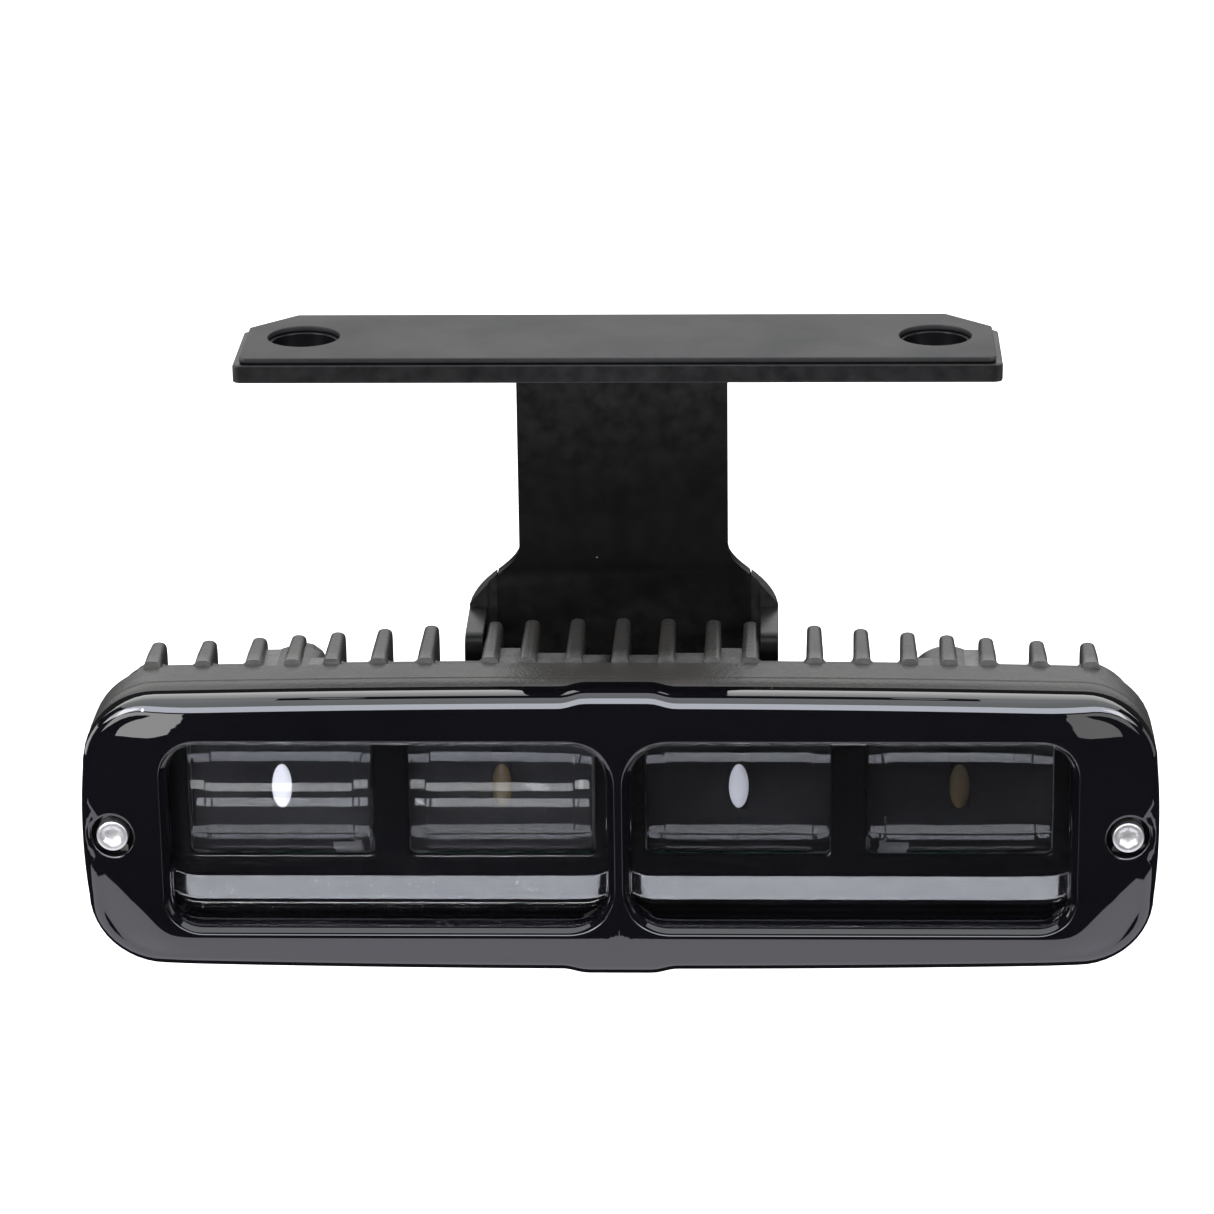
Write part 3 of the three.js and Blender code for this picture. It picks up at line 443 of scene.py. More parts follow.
def face_depth(x, z):
    """How far the trim's front lies back: flat round the windows, sloping away towards the edges."""
    slope = math.tan(math.radians(11)) * eased(abs(z) - 18.9, 1.0)
    slope += math.tan(math.radians(9)) * eased((abs(x) - 83.4) * 0.7 + (abs(z) - 13.2) * 0.71, 1.0)
    return slope + math.tan(math.radians(10)) * eased(abs(x) - 80.0, 1.6)


ROUND, ROUND_END = 3.0, 3.7


def round_row(share):
    """Inset and the part of the way back, on the quarter round at the trim's outer edge."""
    turn = math.radians(90 * share)
    return ROUND - (ROUND - 0.25) * math.sin(turn), 1 - math.cos(turn)


def front_surface(x, z):
    """Depth of the trim's front near its ends, its rounded border included."""
    inset = HALF_WIDTH - BOW * (z / 11.8) ** 2 - abs(x)
    base = face_depth(x, z)
    if inset >= ROUND:
        return base
    turn = math.asin(min(1.0, (ROUND - inset) / (ROUND - 0.25)))
    return base + (ROUND_END - base) * (1 - math.cos(turn))


def both_ways(bm):
    """Completes a quarter of a shape to the left and downwards."""
    bmesh.ops.remove_doubles(bm, verts=bm.verts, dist=MERGE)
    for way in ("X", "Z"):
        bmesh.ops.mirror(bm, geom=bm.verts[:] + bm.edges[:] + bm.faces[:], axis=way, merge_dist=MERGE)
        bmesh.ops.remove_doubles(bm, verts=bm.verts, dist=MERGE)


def bezel():
    """The gloss trim ring: its outer side, its lens seat and its front with two windows."""
    bm = bmesh.new()
    rounds = [round_row(share) for share in steps(0, 1, 9)]
    start = outer_chain(ROUND)
    depths = [face_depth(x, z) for x, z in start]
    rows = []
    for inset, back in rounds:
        rows.append([(x, d + (ROUND_END - d) * back, z) for (x, z), d in zip(outer_chain(inset), depths)])
    rows.append([(x, 6.5, z) for x, z in outer_chain(0.02)])
    rows.append([(x, 6.8, z) for x, z in outer_chain(0.2)])
    lens_land = recess_chain(81.9, 21.3, 8.9, CENTRE_LINE)
    skip = len(lens_land) - len(start)
    rows.append([(x, 6.8, z) for x, z in lens_land[skip:]])
    rows.append([(x, LENS_SEAT, z) for x, z in lens_land[skip:]])
    skin(bm, rows)
    outer = outer_chain(ROUND, CENTRE_LINE)
    rim = window_chain(0.25)
    front = []
    for share in steps(0, 1, 12):
        blend = [(a[0] + (b[0] - a[0]) * share, a[1] + (b[1] - a[1]) * share) for a, b in zip(outer, rim)]
        front.append([(x, face_depth(x, z), z) for x, z in blend])
    for grow, drop in ((0.1, 0.03), (0.0, 0.13), (-0.07, 0.3), (-0.7, 1.0), (-0.85, 1.2), (-1.0, 1.5),
                       (PANE, 2.0)):
        front.append([(x, drop + 0.05, z) for x, z in window_chain(grow)])
    front.append([(x, LENS_SEAT, z) for x, z in window_chain(PANE)])
    front.append([(x, LENS_SEAT, z) for x, z in lens_land])
    skin(bm, front)
    both_ways(bm)
    for way in (-1, 1):
        counterbore(bm, way * SCREW_X)
    piece("trim_ring", bm, LAMP, "lamp", piano_black, ["bezel"], sharp=50, weighted=False)


def counterbore(bm, x):
    """Opens the trim's front round a screw and draws the hole's edge in, back and closed."""
    middle = Vector((x, 0, 0)) * MM
    taken = []
    for face in bm.faces:
        near = all(abs(v.co.x - middle.x) < 5.0 * MM and abs(v.co.z) < 6.1 * MM for v in face.verts)
        if near and max(v.co.y for v in face.verts) < 3.3 * MM:
            taken.append(face)
    rim = {edge for face in taken for edge in face.edges
           if sum(other in taken for other in edge.link_faces) == 1}
    bmesh.ops.delete(bm, geom=taken, context="FACES")
    edges = [edge for edge in rim if edge.is_valid]
    for radius, drop in ((4.6, 0), (4.1, 0), (3.92, 0.04), (3.8, 0.16), (3.75, 0.4),
                         (3.75, None), (1.6, None)):
        made = bmesh.ops.extrude_edge_only(bm, edges=edges)["geom"]
        fresh = {item for item in made if isinstance(item, bmesh.types.BMVert)}
        edges = [item for item in made if isinstance(item, bmesh.types.BMEdge)
                 and all(vert in fresh for vert in item.verts)]
        for vert in fresh:
            way = Vector((vert.co.x - middle.x, 0, vert.co.z)).normalized()
            vert.co = middle + way * radius * MM
            if drop is None:
                vert.co.y = SCREW_HEAD * MM
            else:
                vert.co.y = (front_surface(vert.co.x / MM, vert.co.z / MM) + drop) * MM
    bmesh.ops.holes_fill(bm, edges=edges, sides=0)


# ---- Cover lens and optics ---------------------------------------------------------------------------

def cover_lens():
    """The clear cover: its two panes stand forward into the windows."""
    bm = bmesh.new()
    land = recess_chain(81.5, 20.9, 8.5, CENTRE_LINE)
    rows = [[(x, depth, z) for x, z in window_chain(PANE - inset)]
            for inset, depth in ((0.5, 3.2), (0.25, 3.25), (0.12, 3.45), (0.1, 4.8))]
    rows.append([(x, 4.8, z) for x, z in land])
    skin(bm, rows)
    skip = len(land) - len(outer_chain(0))
    skin(bm, [[(x, depth, z) for x, z in land[skip:]] for depth in (4.8, 6.7)])
    both_ways(bm)
    rims = [edge for edge in bm.edges if edge.is_boundary]
    bmesh.ops.holes_fill(bm, edges=rims, sides=0)
    made = piece("cover", bm, LAMP, "lamp", cover_glass, ["cover_lens"],
                 sharp=25, weighted=False)
    made.visible_shadow = False


OPTIC_LOW, OPTIC_HIGH = -7.0, 15.0
OPTIC_FRONT, OPTIC_REAR = 8.05, 16.5
OPTIC_CROWN, REAR_CROWN = 4.6, 2.4


def optic_profile(crown, shrink):
    """Cross-section of an optic, front to the left: (depth, height) round its edge."""
    low, high = OPTIC_LOW + shrink, OPTIC_HIGH - shrink
    half, middle = (high - low) / 2, (high + low) / 2
    radius = (half * half + crown * crown) / (2 * crown)
    reach = math.degrees(math.asin(half / radius))
    front = OPTIC_FRONT + (OPTIC_CROWN - crown)
    curve = arc((front + radius, middle), radius, 180 - reach, 180 + reach, 26)
    rear = (half * half + REAR_CROWN * REAR_CROWN) / (2 * REAR_CROWN)
    reach = math.degrees(math.asin(half / rear))
    return curve + arc((OPTIC_REAR - rear, middle), rear, -reach, reach, 16)


def optic(name, x, nodes):
    """A clear cylinder lens with a thin flange round it."""
    bm = bmesh.new()
    levels = ((-15.7, 3.6, 0.5), (-15.3, 4.0, 0.1), (-12.9, 4.0, 0.1), (-12.6, OPTIC_CROWN, 0.0),
              (12.6, OPTIC_CROWN, 0.0), (12.9, 4.0, 0.1), (15.3, 4.0, 0.1), (15.7, 3.6, 0.5))
    loft(bm, [[(x + dx, y, z) for y, z in optic_profile(crown, shrink)] for dx, crown, shrink in levels])
    lip = [[(a, depth, b) for a, b in rounded(x - 17 + s, x + 17 - s, -8.3 + s, 16.3 - s, 3 - s, 4)]
           for depth, s in ((13.75, 0.15), (13.9, 0), (15.05, 0), (15.2, 0.15))]
    lip += [[(a, depth, b) for a, b in rounded(x - 15.75, x + 15.75, -7.05, 15.05, 0.3, 4)]
            for depth in (15.2, 13.75)]
    loft(bm, lip, ring=True)
    made = piece(name, bm, LAMP, "lamp", optic_glass, nodes, sharp=25, weighted=False)
    made.visible_shadow = False


def holder(name, way, nodes):
    """The dark frame behind one window, with a gloss ledge and steps under the optics."""
    bm = bmesh.new()
    left, right = sorted((way * 0.35, way * 79.0))
    ring = []
    for depth, inset in ((8.4, 0.2), (8.6, 0), (17.2, 0), (17.35, 0.2), (17.35, 1.3), (8.6, 1.4), (8.4, 1.2)):
        ring.append([(x, depth, z) for x, z in
                     rounded(left + inset, right - inset, -18.4 + inset, 18.4 - inset, 7 - inset, 6)])
    loft(bm, ring, ring=True)
    holes = [lambda grow, x=x: rounded(x - 16 - grow, x + 16 + grow, -7.3 - grow, 15.3 + grow, 1.2 + grow, 3)
             for x in (way * 20.6, way * 58.6)]
    drilled(bm, lambda inset: rounded(left + 1.2 + inset, right - 1.2 - inset, -17.2 + inset, 17.2 - inset,
                                      5.6 - inset, 6),
            holes, 12.0, 13.4, upright, 0.2)
    section = [(12.9, -8.3), (12.2, -8.35), (11.6, -10.6), (11.3, -10.9), (9.04, -14.0), (8.75, -14.45),
               (8.7, -14.8), (9.1, -15.1), (10.3, -15.15), (10.4, -15.3), (10.4, -15.7), (10.2, -15.85),
               (9.4, -15.9), (9.2, -16.05), (9.2, -16.5), (9.4, -16.65), (10.4, -16.7), (10.4, -17.7),
               (12.9, -17.7)]
    loops = []
    for gap in (0.0, 0.25, 0.7, 1.4, 2.4, 3.6, 5.0):
        rise = 5.0 - math.sqrt(25.0 - (5.0 - gap) ** 2)
        share = (9.4 - rise) / 9.4
        loops.append([(gap, y, -8.3 + (z + 8.3) * share) for y, z in section])
    span = right - left - 2.4
    both = loops + [[(span - gap, y, z) for gap, y, z in loop] for loop in reversed(loops)]
    loft(bm, [[(left + 1.2 + x, y, z) for x, y, z in loop] for loop in both])
    piece(name, bm, LAMP, "lamp", dark_holder, nodes)


def emitter(name, x, material, nodes):
    """An LED package: a low base with a long oval domed cap."""
    low, high = local(nodes[0])
    back, z = high[1], (low[2] + high[2]) / 2
    wide, tall = (high[0] - low[0]) / 2, (high[2] - low[2]) / 2
    bm = bmesh.new()
    loft(bm, [[(a, back - h, b) for a, b in
               rounded(x - wide + s, x + wide - s, z - tall + s, z + tall - s, 0.3, 3)]
              for h, s in ((0, 0.1), (0.05, 0), (0.2, 0), (0.26, 0.1), (0.26, 0.22))])
    for face in bm.faces:
        face.material_index = 1
    centre, half = z - tall + 3.3, 3.2
    turns = [math.tau * k / 36 for k in range(36)]
    loft(bm, [[(x + (wide - s) * math.cos(a), back - h, centre + (half - s * 1.4) * math.sin(a))
               for a in turns]
              for h, s in ((0.2, 0.1), (0.3, 0.1), (0.42, 0.25), (0.55, 0.5), (0.64, 0.85), (0.69, 1.3))])
    piece(name, bm, LAMP, "lamp", (material, board_mask), nodes)


# ---- Housing ---------------------------------------------------------------------------------------

FINS = (0, 8, 16, 22.55, 33.7, 41.85, 50, 56.8, 63.6, 72.4, 81.2)
NOTCHED = (33.7, 41.85)  # fins that leave room for the pivot hardware
BODY_BACK = 22.2
BOSS = (56.8, 17.9)
FIN_PROUD, FIN_CORNER = 0.8, 3.5
PIVOT = (34, 12)  # depth and height of the pivot's axis
NOTCH = 7


def fin_tip(x, z):
    """How far back a fin reaches at a height, with its round corners and the notches for hardware."""
    tip = 31.0 + 10.0 * math.cos(math.pi * x / 172.4) ** 2
    over = abs(z) - (edge_height(x) + FIN_PROUD - FIN_CORNER)
    if over > 0:
        tip -= FIN_CORNER - math.sqrt(max(0.0, FIN_CORNER ** 2 - over * over))
    if x in NOTCHED and abs(z - PIVOT[1]) < NOTCH:
        tip = min(tip, PIVOT[0] - math.sqrt(NOTCH ** 2 - (z - PIVOT[1]) ** 2))
    if x == BOSS[0] and abs(z - BOSS[1]) < 6.1:
        tip = min(tip, 29.0)
    return tip


def fin(bm, x, way):
    """One fin: its plan section, round at the tip and flared at the root, pulled up through its height."""
    top = edge_height(x) + FIN_PROUD
    heights = {-top, top, 0.0}
    for up in (0.06, 0.2, 0.45, 0.8, 1.2, 1.7, 2.3, 2.9, 3.5, 6.0):
        heights |= {top - up, up - top}
    if x in NOTCHED:
        heights |= {5.0, 5.02, 5.4, 6.4, 8, 10, 12, 14, 16, 17.6, 18.6, 18.98, 19.0}
    if x == BOSS[0]:
        heights |= {11.78, 11.82}
    loops = []
    for z in sorted(heights):
        down = top - abs(z)
        soft = 0.0
        if down < 1.2:
            soft = 1.0 - math.sqrt(max(0.0, 1 - (1 - down / 1.2) ** 2))
        tip = fin_tip(x, z)
        half = 1.3 - 0.95 * soft
        root = 1.5 - 0.95 * soft
        end = arc((0, tip - half), half, 0, 180, 12)
        flare_out = min(1.0, max(0.0, (down - 1.7) / 0.6))
        right = [(root + 1.2 * flare_out, 18.5), (root + 1.2 * flare_out, BODY_BACK - 0.2),
                 (root + 0.75 * flare_out, BODY_BACK + 0.12), (root + 0.3 * flare_out, BODY_BACK + 0.55),
                 (root, BODY_BACK + 1.4)]
        left = [(-a, b) for a, b in reversed(right)]
        loops.append([(way * x + a, b, z) for a, b in right + end + left])
    loft(bm, loops)


def lamp_loop(inset, depth):
    """The lamp's whole outline at a depth, without the raised middle."""
    quarter = outer_chain(inset, raised=False)
    mirrored = [(x, -z) for x, z in reversed(quarter[:-1])]
    right = quarter + mirrored
    left = [(-x, z) for x, z in reversed(right[1:-1])]
    return [(x, depth, z) for x, z in right + left]


def inner_loop(right, high, radius, depth):
    """A plain rounded rectangle with as many places as the lamp's outline."""
    quarter = recess_chain(right, high, radius, CENTRE_LINE)[10:]
    mirrored = [(x, -z) for x, z in reversed(quarter[:-1])]
    whole = quarter + mirrored
    return [(x, depth, z) for x, z in whole + [(-x, z) for x, z in reversed(whole[1:-1])]]


def web(bm, x0, x1, way, rise):
    """A raised web between two neighbouring fins."""
    a, b = sorted((way * x0, way * x1))
    back = BODY_BACK + rise
    loops = []
    for depth, soft in ((18.5, 0), (back - 0.9, 0), (back - 0.45, 0.12), (back - 0.12, 0.45), (back, 0.9)):
        top = [edge_height(x) - 0.9 - soft for x in (x0, x1)]
        if way < 0:
            top.reverse()
        loops.append([(a, depth, -top[0]), (b, depth, -top[1]), (b, depth, top[1]), (a, depth, top[0])])
    loft(bm, loops)


def housing():
    """The cast body with its fins, webs, cable bosses, pivot blocks and end walls."""
    bm = bmesh.new()
    rounds = [(2.2 * (1 - math.sin(math.radians(a))), 6.85 + 3.2 * (1 - math.cos(math.radians(a))))
              for a in steps(0, 90, 7)]
    loops = [inner_loop(79.4, 18.8, 8, 19.8), inner_loop(79.4, 18.8, 8, 6.85)]
    loops += [lamp_loop(inset, depth) for inset, depth in rounds]
    loops += [lamp_loop(inset, depth) for inset, depth in
              ((0.0, 10.6), (0.12, 10.75), (0.12, 11.0), (0.0, 11.15), (0.05, 17.9), (0.25, 18.4),
               (0.8, 18.7), (1.1, 18.9), (1.1, 21.9), (1.4, BODY_BACK))]
    loft(bm, loops)
    for x in FINS:
        for way in (1,) if x == 0 else (-1, 1):
            fin(bm, x, way)
    webs = [(0, 8, 2.7), (8, 16, 3.7), (16, 22.55, 6.2), (50, 56.8, 2.3), (56.8, 63.6, 6.8)]
    for x0, x1, rise in webs:
        for way in (-1, 1):
            web(bm, x0, x1, way, rise)
    for way in (-1, 1):
        turned(bm, [(7, 19, 0), (7, 28.4, 0), (6.8, 28.8, 0), (6.4, 29, 0)],
               (way * BOSS[0], 0, BOSS[1]), (0, 1, 0), 48)
        turned(bm, [(6.5, 20.6, 0), (6.5, 23.6, 0), (6.2, 23.9, 0), (2.6, 23.9, 0), (2.6, 21.5, 0)],
               (0, *PIVOT), (way, 0, 0), 40)
        lug = [(22.5, 6.5), (22.5, 17.5), (34.0, 18.5), (34.0, 5.5)]
        loft(bm, [[(way * x, y, z) for y, z in lug] for x in (20.8, 23.4)])
        rows = []
        for depth, soft in ((19.0, 0), (26.9, 0), (27.7, 0.25), (28.2, 0.7), (28.4, 1.4)):
            rows.append([(way * x, depth, z) for x, z in lamp_side(2.0 + soft)])
        loft(bm, rows)
    piece("finned_body", bm, LAMP, "lamp", powder_coat, ["housing"], sharp=40)


def lamp_side(inset):
    """The end part of the lamp's outline, beyond the last fin."""
    quarter = [(x, z) for x, z in outer_chain(inset, raised=False) if x > 81.5]
    first = (81.2, edge_height(81.2) - inset - 0.25)
    upper = [first] + quarter
    return upper + [(x, -z) for x, z in reversed(upper[:-1])]


# ---- Bracket ---------------------------------------------------------------------------------------

HOLE_X = 54.25
LEG_HALF, FLARE_TOP, FLARE_DROP, FLARE_OUT = 18.5, -42.5, 10.5, 8.9
EAR_BEND = 22.6  # where the ears start to bend forwards
PLATE_HALF, PLATE_DEEP = 65.25, 14.25


def plate_outline(inset):
    """The top plate seen from above: round front corners and chamfered rear corners."""
    x, y = PLATE_HALF - inset, PLATE_DEEP - inset
    cham = 8.5 - 0.6 * inset
    right = arc((x - 1.2, -y + 1.2), 1.2, -90, 0, 5) + arc((x - 0.8, y - cham - 0.2), 0.8, 0, 45, 3)
    right += arc((x - cham - 0.2, y - 0.8), 0.8, 45, 90, 3)
    left = [(-a, b) for a, b in reversed(right)]
    return right + left


def bolt_holes(radius):
    """The outlines of the two bolt holes."""
    return [lambda grow, x=x: circle((x, 0), radius + grow, 56) for x in (-HOLE_X, HOLE_X)]


def top_plate():
    bm = bmesh.new()
    drilled(bm, plate_outline, bolt_holes(5.5), -4.2, -1.0, flat, 0.35)
    piece("plate", bm, BRACKET, "bracket", painted_steel, ["top_plate"], sharp=30)


def mounting_pad():
    bm = bmesh.new()
    drilled(bm, lambda inset: plate_outline(inset + 1.1), bolt_holes(6.2), -0.95, 0.0, flat, 0.22)
    piece("pad_sheet", bm, BRACKET, "bracket", pad_sheet, ["mounting_pad"], sharp=30)


def flare(z):
    """Half width of the leg at a height."""
    if z > FLARE_TOP:
        return LEG_HALF
    share = min(1.0, (FLARE_TOP - z) / FLARE_DROP)
    return LEG_HALF + FLARE_OUT * share * share * (3 - 2 * share)


def drop_leg():
    """The bent leg: a flat strip that flares, and at each side a bend and an ear."""
    bm = bmesh.new()
    levels = [-4.3, -20, -32, -40, FLARE_TOP] + steps(-43.5, -53, 10)
    inner = EAR_BEND
    right = [(min(flare(z), inner), z) for z in levels] + [(inner, -58), (inner, -64)]
    outline = right + [(-x, z) for x, z in reversed(right)]

    def shrunk(inset):
        return [(x - math.copysign(inset, x) if abs(x) < inner - 0.01 else x,
                 z + (inset if z < -63 else 0)) for x, z in outline]

    rims = ((0.3, 11.0), (0.09, 11.09), (0, 11.3), (0, 13.9), (0.09, 14.11), (0.3, 14.2))
    loft(bm, [[(x, depth, z) for x, z in shrunk(inset)] for inset, depth in rims])
    for way in (-1, 1):
        bend = []
        for turn in steps(0, 90, 8):
            a = math.radians(turn)
            rims = []
            for radius in (4.8, 1.6):
                x = inner + radius * math.sin(a)
                y = 9.4 + radius * math.cos(a)
                top = max(-53.0, FLARE_TOP - FLARE_DROP * flare_share(min(x, 27.3)))
                rims.append([(way * x, y, -64), (way * x, y, top)])
            bend.append([rims[0][0], rims[0][1], rims[1][1], rims[1][0]])
        loft(bm, bend)
        ear = arc((-3.0, -56.0), 3.0, 90, 180, 6) + [(-6.0, -60.0), (-6.6, -64.0)]
        ear += arc((1.0, -68.0), 8, 180, 360, 22) + [(9.4, -66.0), (9.4, -53.0)]

        def ear_row(x, inset):
            centre = Vector((1.5, -64.0))
            row = []
            for y, z in ear:
                spot = Vector((y, z))
                pull = (centre - spot).normalized() * inset if y < 9.3 else Vector((0, 0))
                row.append((way * x, y + pull.x, z + pull.y))
            return row

        loft(bm, [ear_row(24.2, 0.3), ear_row(24.29, 0.09), ear_row(24.5, 0), ear_row(27.1, 0),
                  ear_row(27.31, 0.09), ear_row(27.4, 0.3)])
    piece("hanger", bm, BRACKET, "bracket", painted_steel, ["drop_leg"], sharp=30)


def flare_share(x):
    """How far down the flare a half width is reached, from 0 to 1."""
    low, high = 0.0, 1.0
    for _ in range(30):
        mid = (low + high) / 2
        if LEG_HALF + FLARE_OUT * mid * mid * (3 - 2 * mid) < x:
            low = mid
        else:
            high = mid
    return low


# ---- Fasteners and small parts -----------------------------------------------------------------------

def socket_screw(name, start, along, radius, height, socket, shank, length, nodes, domed=False):
    """A round-headed hex-socket screw: start is under its head, along points out of the head."""
    top = height
    rows = [(0.2, -length, 0), (shank - 0.3, -length, 0), (shank, 0.3 - length, 0), (shank, 0, 0),
            (radius - 0.15, 0, 0), (radius, 0.15, 0)]
    if domed:
        rows += [(radius, 0.7, 0), (radius * 0.94, top * 0.5, 0), (radius * 0.8, top * 0.8, 0),
                 (radius * 0.62, top, 0)]
    else:
        rows += [(radius, top - 0.35, 0), (radius - 0.1, top - 0.12, 0), (radius - 0.35, top, 0)]
    rows += [(socket * 1.28, top, 0), (socket, top - 0.18, 6), (socket, top * 0.42, 6),
             (socket * 0.4, top * 0.3, 0)]
    bm = bmesh.new()
    turned(bm, rows, start, along, 48)
    piece(name, bm, LAMP, "lamp", stainless, nodes, sharp=32)


def fasteners():
    for side, way in (("left", -1), ("right", 1)):
        socket_screw("trim_screw_" + side, (way * SCREW_X, SCREW_HEAD, 0), (0, -1, 0),
                     2.75, 2.6, 1.4, 1.45, 10.2, ["bezel_screw_" + side])
        low, high = local("pivot_bolt_" + side)
        outer = max(abs(low[0]), abs(high[0]))
        socket_screw("tilt_bolt_" + side, (way * (outer - 3.3), *PIVOT), (way, 0, 0),
                     5.2, 3.3, 2.3, 2.95, 7.5, ["pivot_bolt_" + side], domed=True)
        for kind, label, radius, bore, slot, material in (
                ("pivot_washer_", "flat_washer_", 6.0, 3.3, "zinc_steel", zinc_steel),
                ("spring_washer_", "lock_washer_", 5.0, 3.2, "stainless", stainless)):
            low, high = local(kind + side)
            a, b = sorted((abs(low[0]), abs(high[0])))
            bm = bmesh.new()
            loops = []
            for x, r in ((a, bore), (b, bore), (b, radius - 0.15), (b - 0.15, radius), (a + 0.15, radius),
                         (a, radius - 0.15)):
                loops.append([(way * x, PIVOT[0] + u, PIVOT[1] + v) for u, v in circle((0, 0), r, 44)])
            loft(bm, loops, ring=True)
            piece(label + side, bm, LAMP, "lamp", material, [kind + side])


# ---- Build -------------------------------------------------------------------------------------------

bezel()
cover_lens()
for label, way in (("left", -1), ("right", 1)):
    holder("holder_" + label, way, ["optic_holder_" + label])
    for number in (1, 2):
        low, high = local("optic_%s_%d" % (label, number))
        x = (low[0] + high[0]) / 2
        optic("lens_%s_%d" % (label, number), x, ["optic_%s_%d" % (label, number)])
        # The first LED on each side gets the pale painted highlight, the second the darkened amber of painted
        # shade.
        emitter("led_%s_%d" % (label, number), x, phosphor_white if number == 1 else phosphor,
                ["led_emitter_%s_%d" % (label, number)])
housing()
top_plate()
mounting_pad()
drop_leg()
fasteners()

kept = {"lens_gasket": rubber, "gland_seal": rubber, "driver_board": driver_mask, "cable_gland": nylon,
        "gland_nut": nylon, "breather_vent": nylon}
for label in ("left", "right"):
    kept["led_board_" + label] = board_mask
    kept["thermal_pad_" + label] = soft_pad
    kept["driver_coil_" + label] = ferrite
    kept["driver_capacitor_" + label] = can_metal
    kept["board_jumper_" + label] = nylon
    kept["driver_screw_" + label] = stainless
    for number in (1, 2):
        kept["led_board_screw_%s_%d" % (label, number)] = stainless
for name, material in kept.items():
    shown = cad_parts[name]
    if not shown.material_slots:
        shown.data.materials.append(material)
    for place in shown.material_slots:
        place.material = material


# ---- Studio ------------------------------------------------------------------------------------------

def softbox(name, place, target, size, bright, receivers, colour=(1, 1, 1)):
    """A soft panel of light; bright is its own brightness, and it lights only its receivers."""
    data = bpy.data.lights.new(name, "AREA")
    data.shape = "RECTANGLE"
    data.size, data.size_y = size
    data.energy = bright * math.pi * size[0] * size[1]
    data.color = colour
    lamp = bpy.data.objects.new(name, data)
    lamp.location = place
    lamp.rotation_euler = (Vector(target) - Vector(place)).to_track_quat("-Z", "Y").to_euler()
    lamp.visible_camera = False
    bpy.context.scene.collection.objects.link(lamp)
    lit = bpy.data.collections.new("lit_by_" + name)
    for shown in receivers:
        lit.objects.link(shown)
    lamp.light_linking.receiver_collection = lit


def panel(name, angle, half, far, wide, bright, colour, receivers):
    """A wide panel seen from the lamp at an angle above the front horizon, half its height in degrees."""
    turn = math.radians(angle)
    place = (0, -far * math.cos(turn), LAMP.z + far * math.sin(turn))
    tall = 2 * far * math.tan(math.radians(half))
    softbox(name, place, (0, 0, LAMP.z), (wide, tall), bright, receivers, colour)


def studio():
    """A pale floor, and a world that is bright to look at but dark in reflections."""
    world = bpy.data.worlds.new("studio")
    bpy.context.scene.world = world
    world.use_nodes = True
    tree = world.node_tree
    back = tree.nodes["Background"]
    back.inputs["Color"].default_value = (1, 1, 1, 1)
    rays = tree.nodes.new("ShaderNodeLightPath")
    bright = math_node(tree, "MAXIMUM", rays.outputs["Is Camera Ray"], rays.outputs["Is Diffuse Ray"])
    tree.links.new(math_node(tree, "MAXIMUM", bright, 0.02), back.inputs["Strength"])
    bm = bmesh.new()
    bmesh.ops.create_grid(bm, x_segments=8, y_segments=8, size=8)
    bmesh.ops.translate(bm, verts=bm.verts, vec=(0, 0, -0.3))
    mesh = bpy.data.meshes.new("floor")
    bm.to_mesh(mesh)
    bm.free()
    floor = bpy.data.objects.new("floor", mesh)
    bpy.context.scene.collection.objects.link(floor)
    floor.visible_glossy = False
    floor.visible_transmission = False
    mesh.materials.append(finish("pale_floor", (0.93, 0.93, 0.93), (0.95, 0.95, 0.95), (0.8, 0.9),
                                 grain=(40, 0.02), patch=1.5))


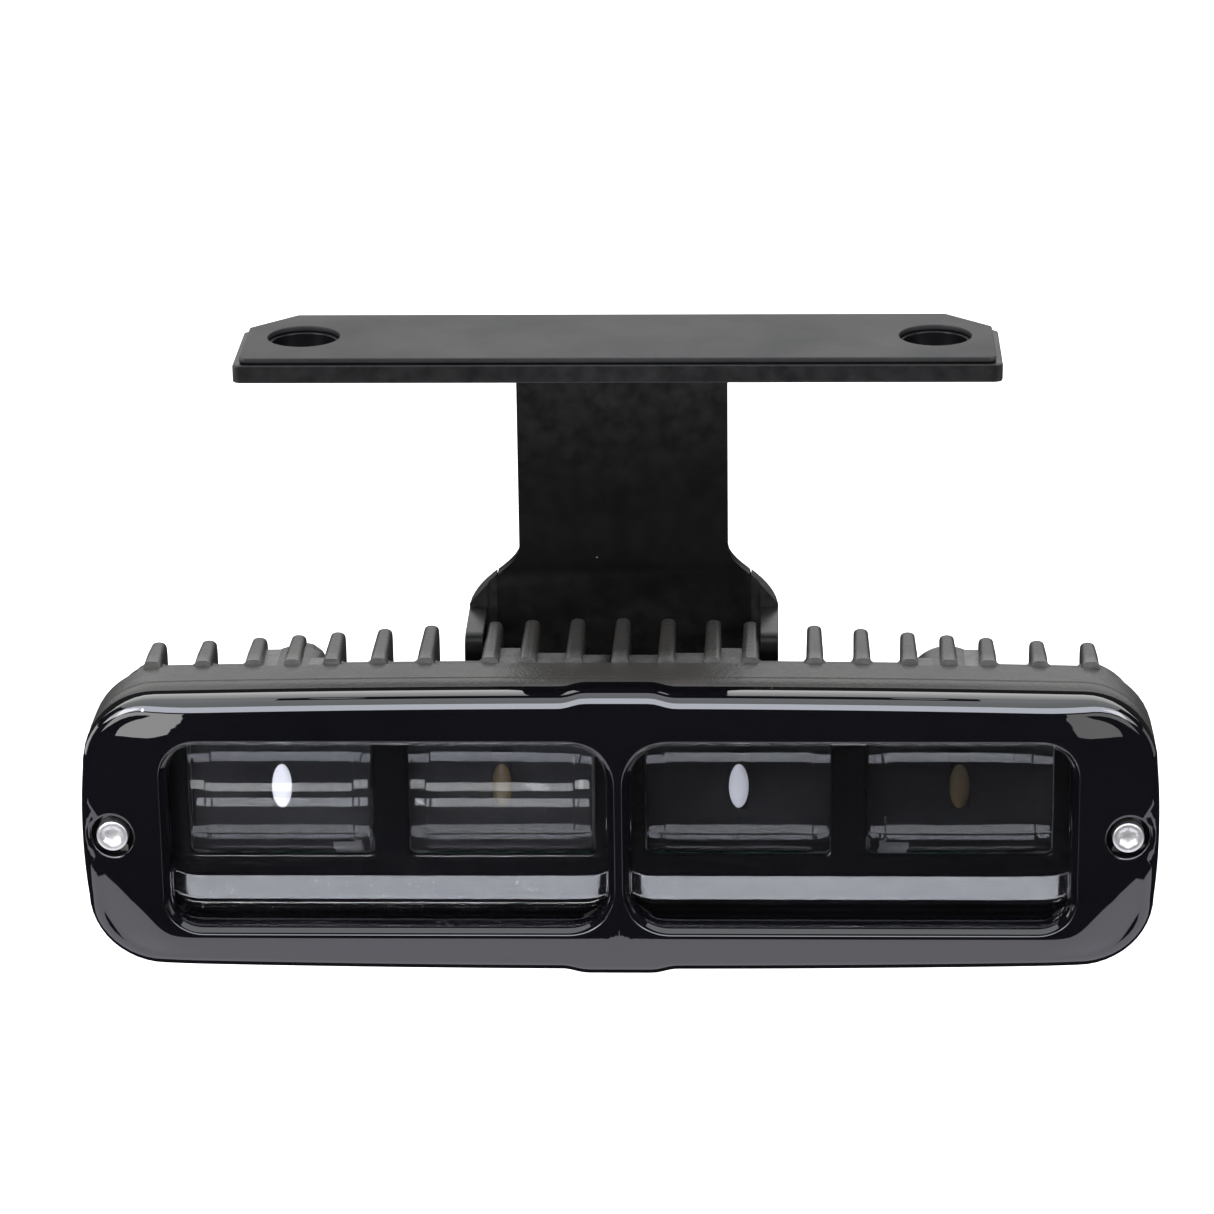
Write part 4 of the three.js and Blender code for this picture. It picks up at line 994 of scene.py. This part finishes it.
def lights():
    """Soft panels. The clear and inner pieces, the trim ring and the leg each have their own."""
    solid = [o for o in bpy.data.objects if o.type == "MESH"]
    inner = [o for o in solid if o.name.startswith(("lens_left", "lens_right", "led_", "cover", "holder"))]
    outer = [o for o in solid if o not in inner]
    inner = [o for o in inner if not o.name.startswith(("led_board", "led_emitter"))]
    trim = [o for o in outer if o.name.startswith(("bezel", "trim"))]
    legless = [o for o in outer if o.name != "hanger"]
    for name, angle, half, far, wide, bright, colour, lit in (
            ("front_top", 43, 19, 1.3, 2.6, 2.4, (0.95, 0.97, 1.0), [o for o in legless if o not in trim]),
            ("trim_sky", 43, 19, 1.3, 2.6, 6.5, (0.87, 0.90, 1.0), trim),
            ("overhead", 92, 31, 1.3, 2.6, 1.7, (0.94, 0.97, 1.0), outer),
            ("behind", 146, 21, 1.5, 3.0, 1.4, (1, 1, 1), outer),
            ("under_front", -54, 23, 0.85, 2.4, 1.5, (0.91, 0.90, 1.0), legless),
            ("ledge_sky", 51, 7, 1.3, 2.6, 7.0, (0.92, 0.94, 1.0), inner),
            ("lens_line", -57, 5.5, 0.85, 1.6, 4.5, (0.94, 0.95, 1.0), inner)):
        panel(name, angle, half, far, wide, bright, colour, lit)
    tubes = [o for o in inner if o.name.startswith(("lens_left", "holder_left", "cover"))]
    softbox("tube_far", (-0.17, -1.04, -0.145), (-0.06, 0, LAMP.z), (0.18, 0.18), 40, tubes)
    softbox("tube_near", (-0.066, -1.04, -0.15), (-0.02, 0, LAMP.z), (0.042, 0.16), 40, tubes)
    middle = (0, 0, LAMP.z)
    softbox("left_corner", (-0.56, -1.02, 0.04), middle, (0.55, 0.36), 3.5, trim)
    softbox("right_corner", (0.56, -1.02, 0.04), middle, (0.5, 0.34), 1.5, trim)
    softbox("left_card", (-0.95, -0.75, 0.5), middle, (0.5, 0.5), 6, legless)
    softbox("right_card", (0.95, -0.75, 0.5), middle, (0.5, 0.5), 3.5, legless)
    softbox("left_side", (-1.2, 0.1, 0.0), middle, (0.9, 0.5), 3.0, outer)
    softbox("right_side", (1.2, 0.1, 0.0), middle, (0.9, 0.5), 0.9, outer)


studio()
lights()
bpy.context.scene.view_settings.view_transform = "Standard"
bpy.context.scene.view_settings.look = "None"
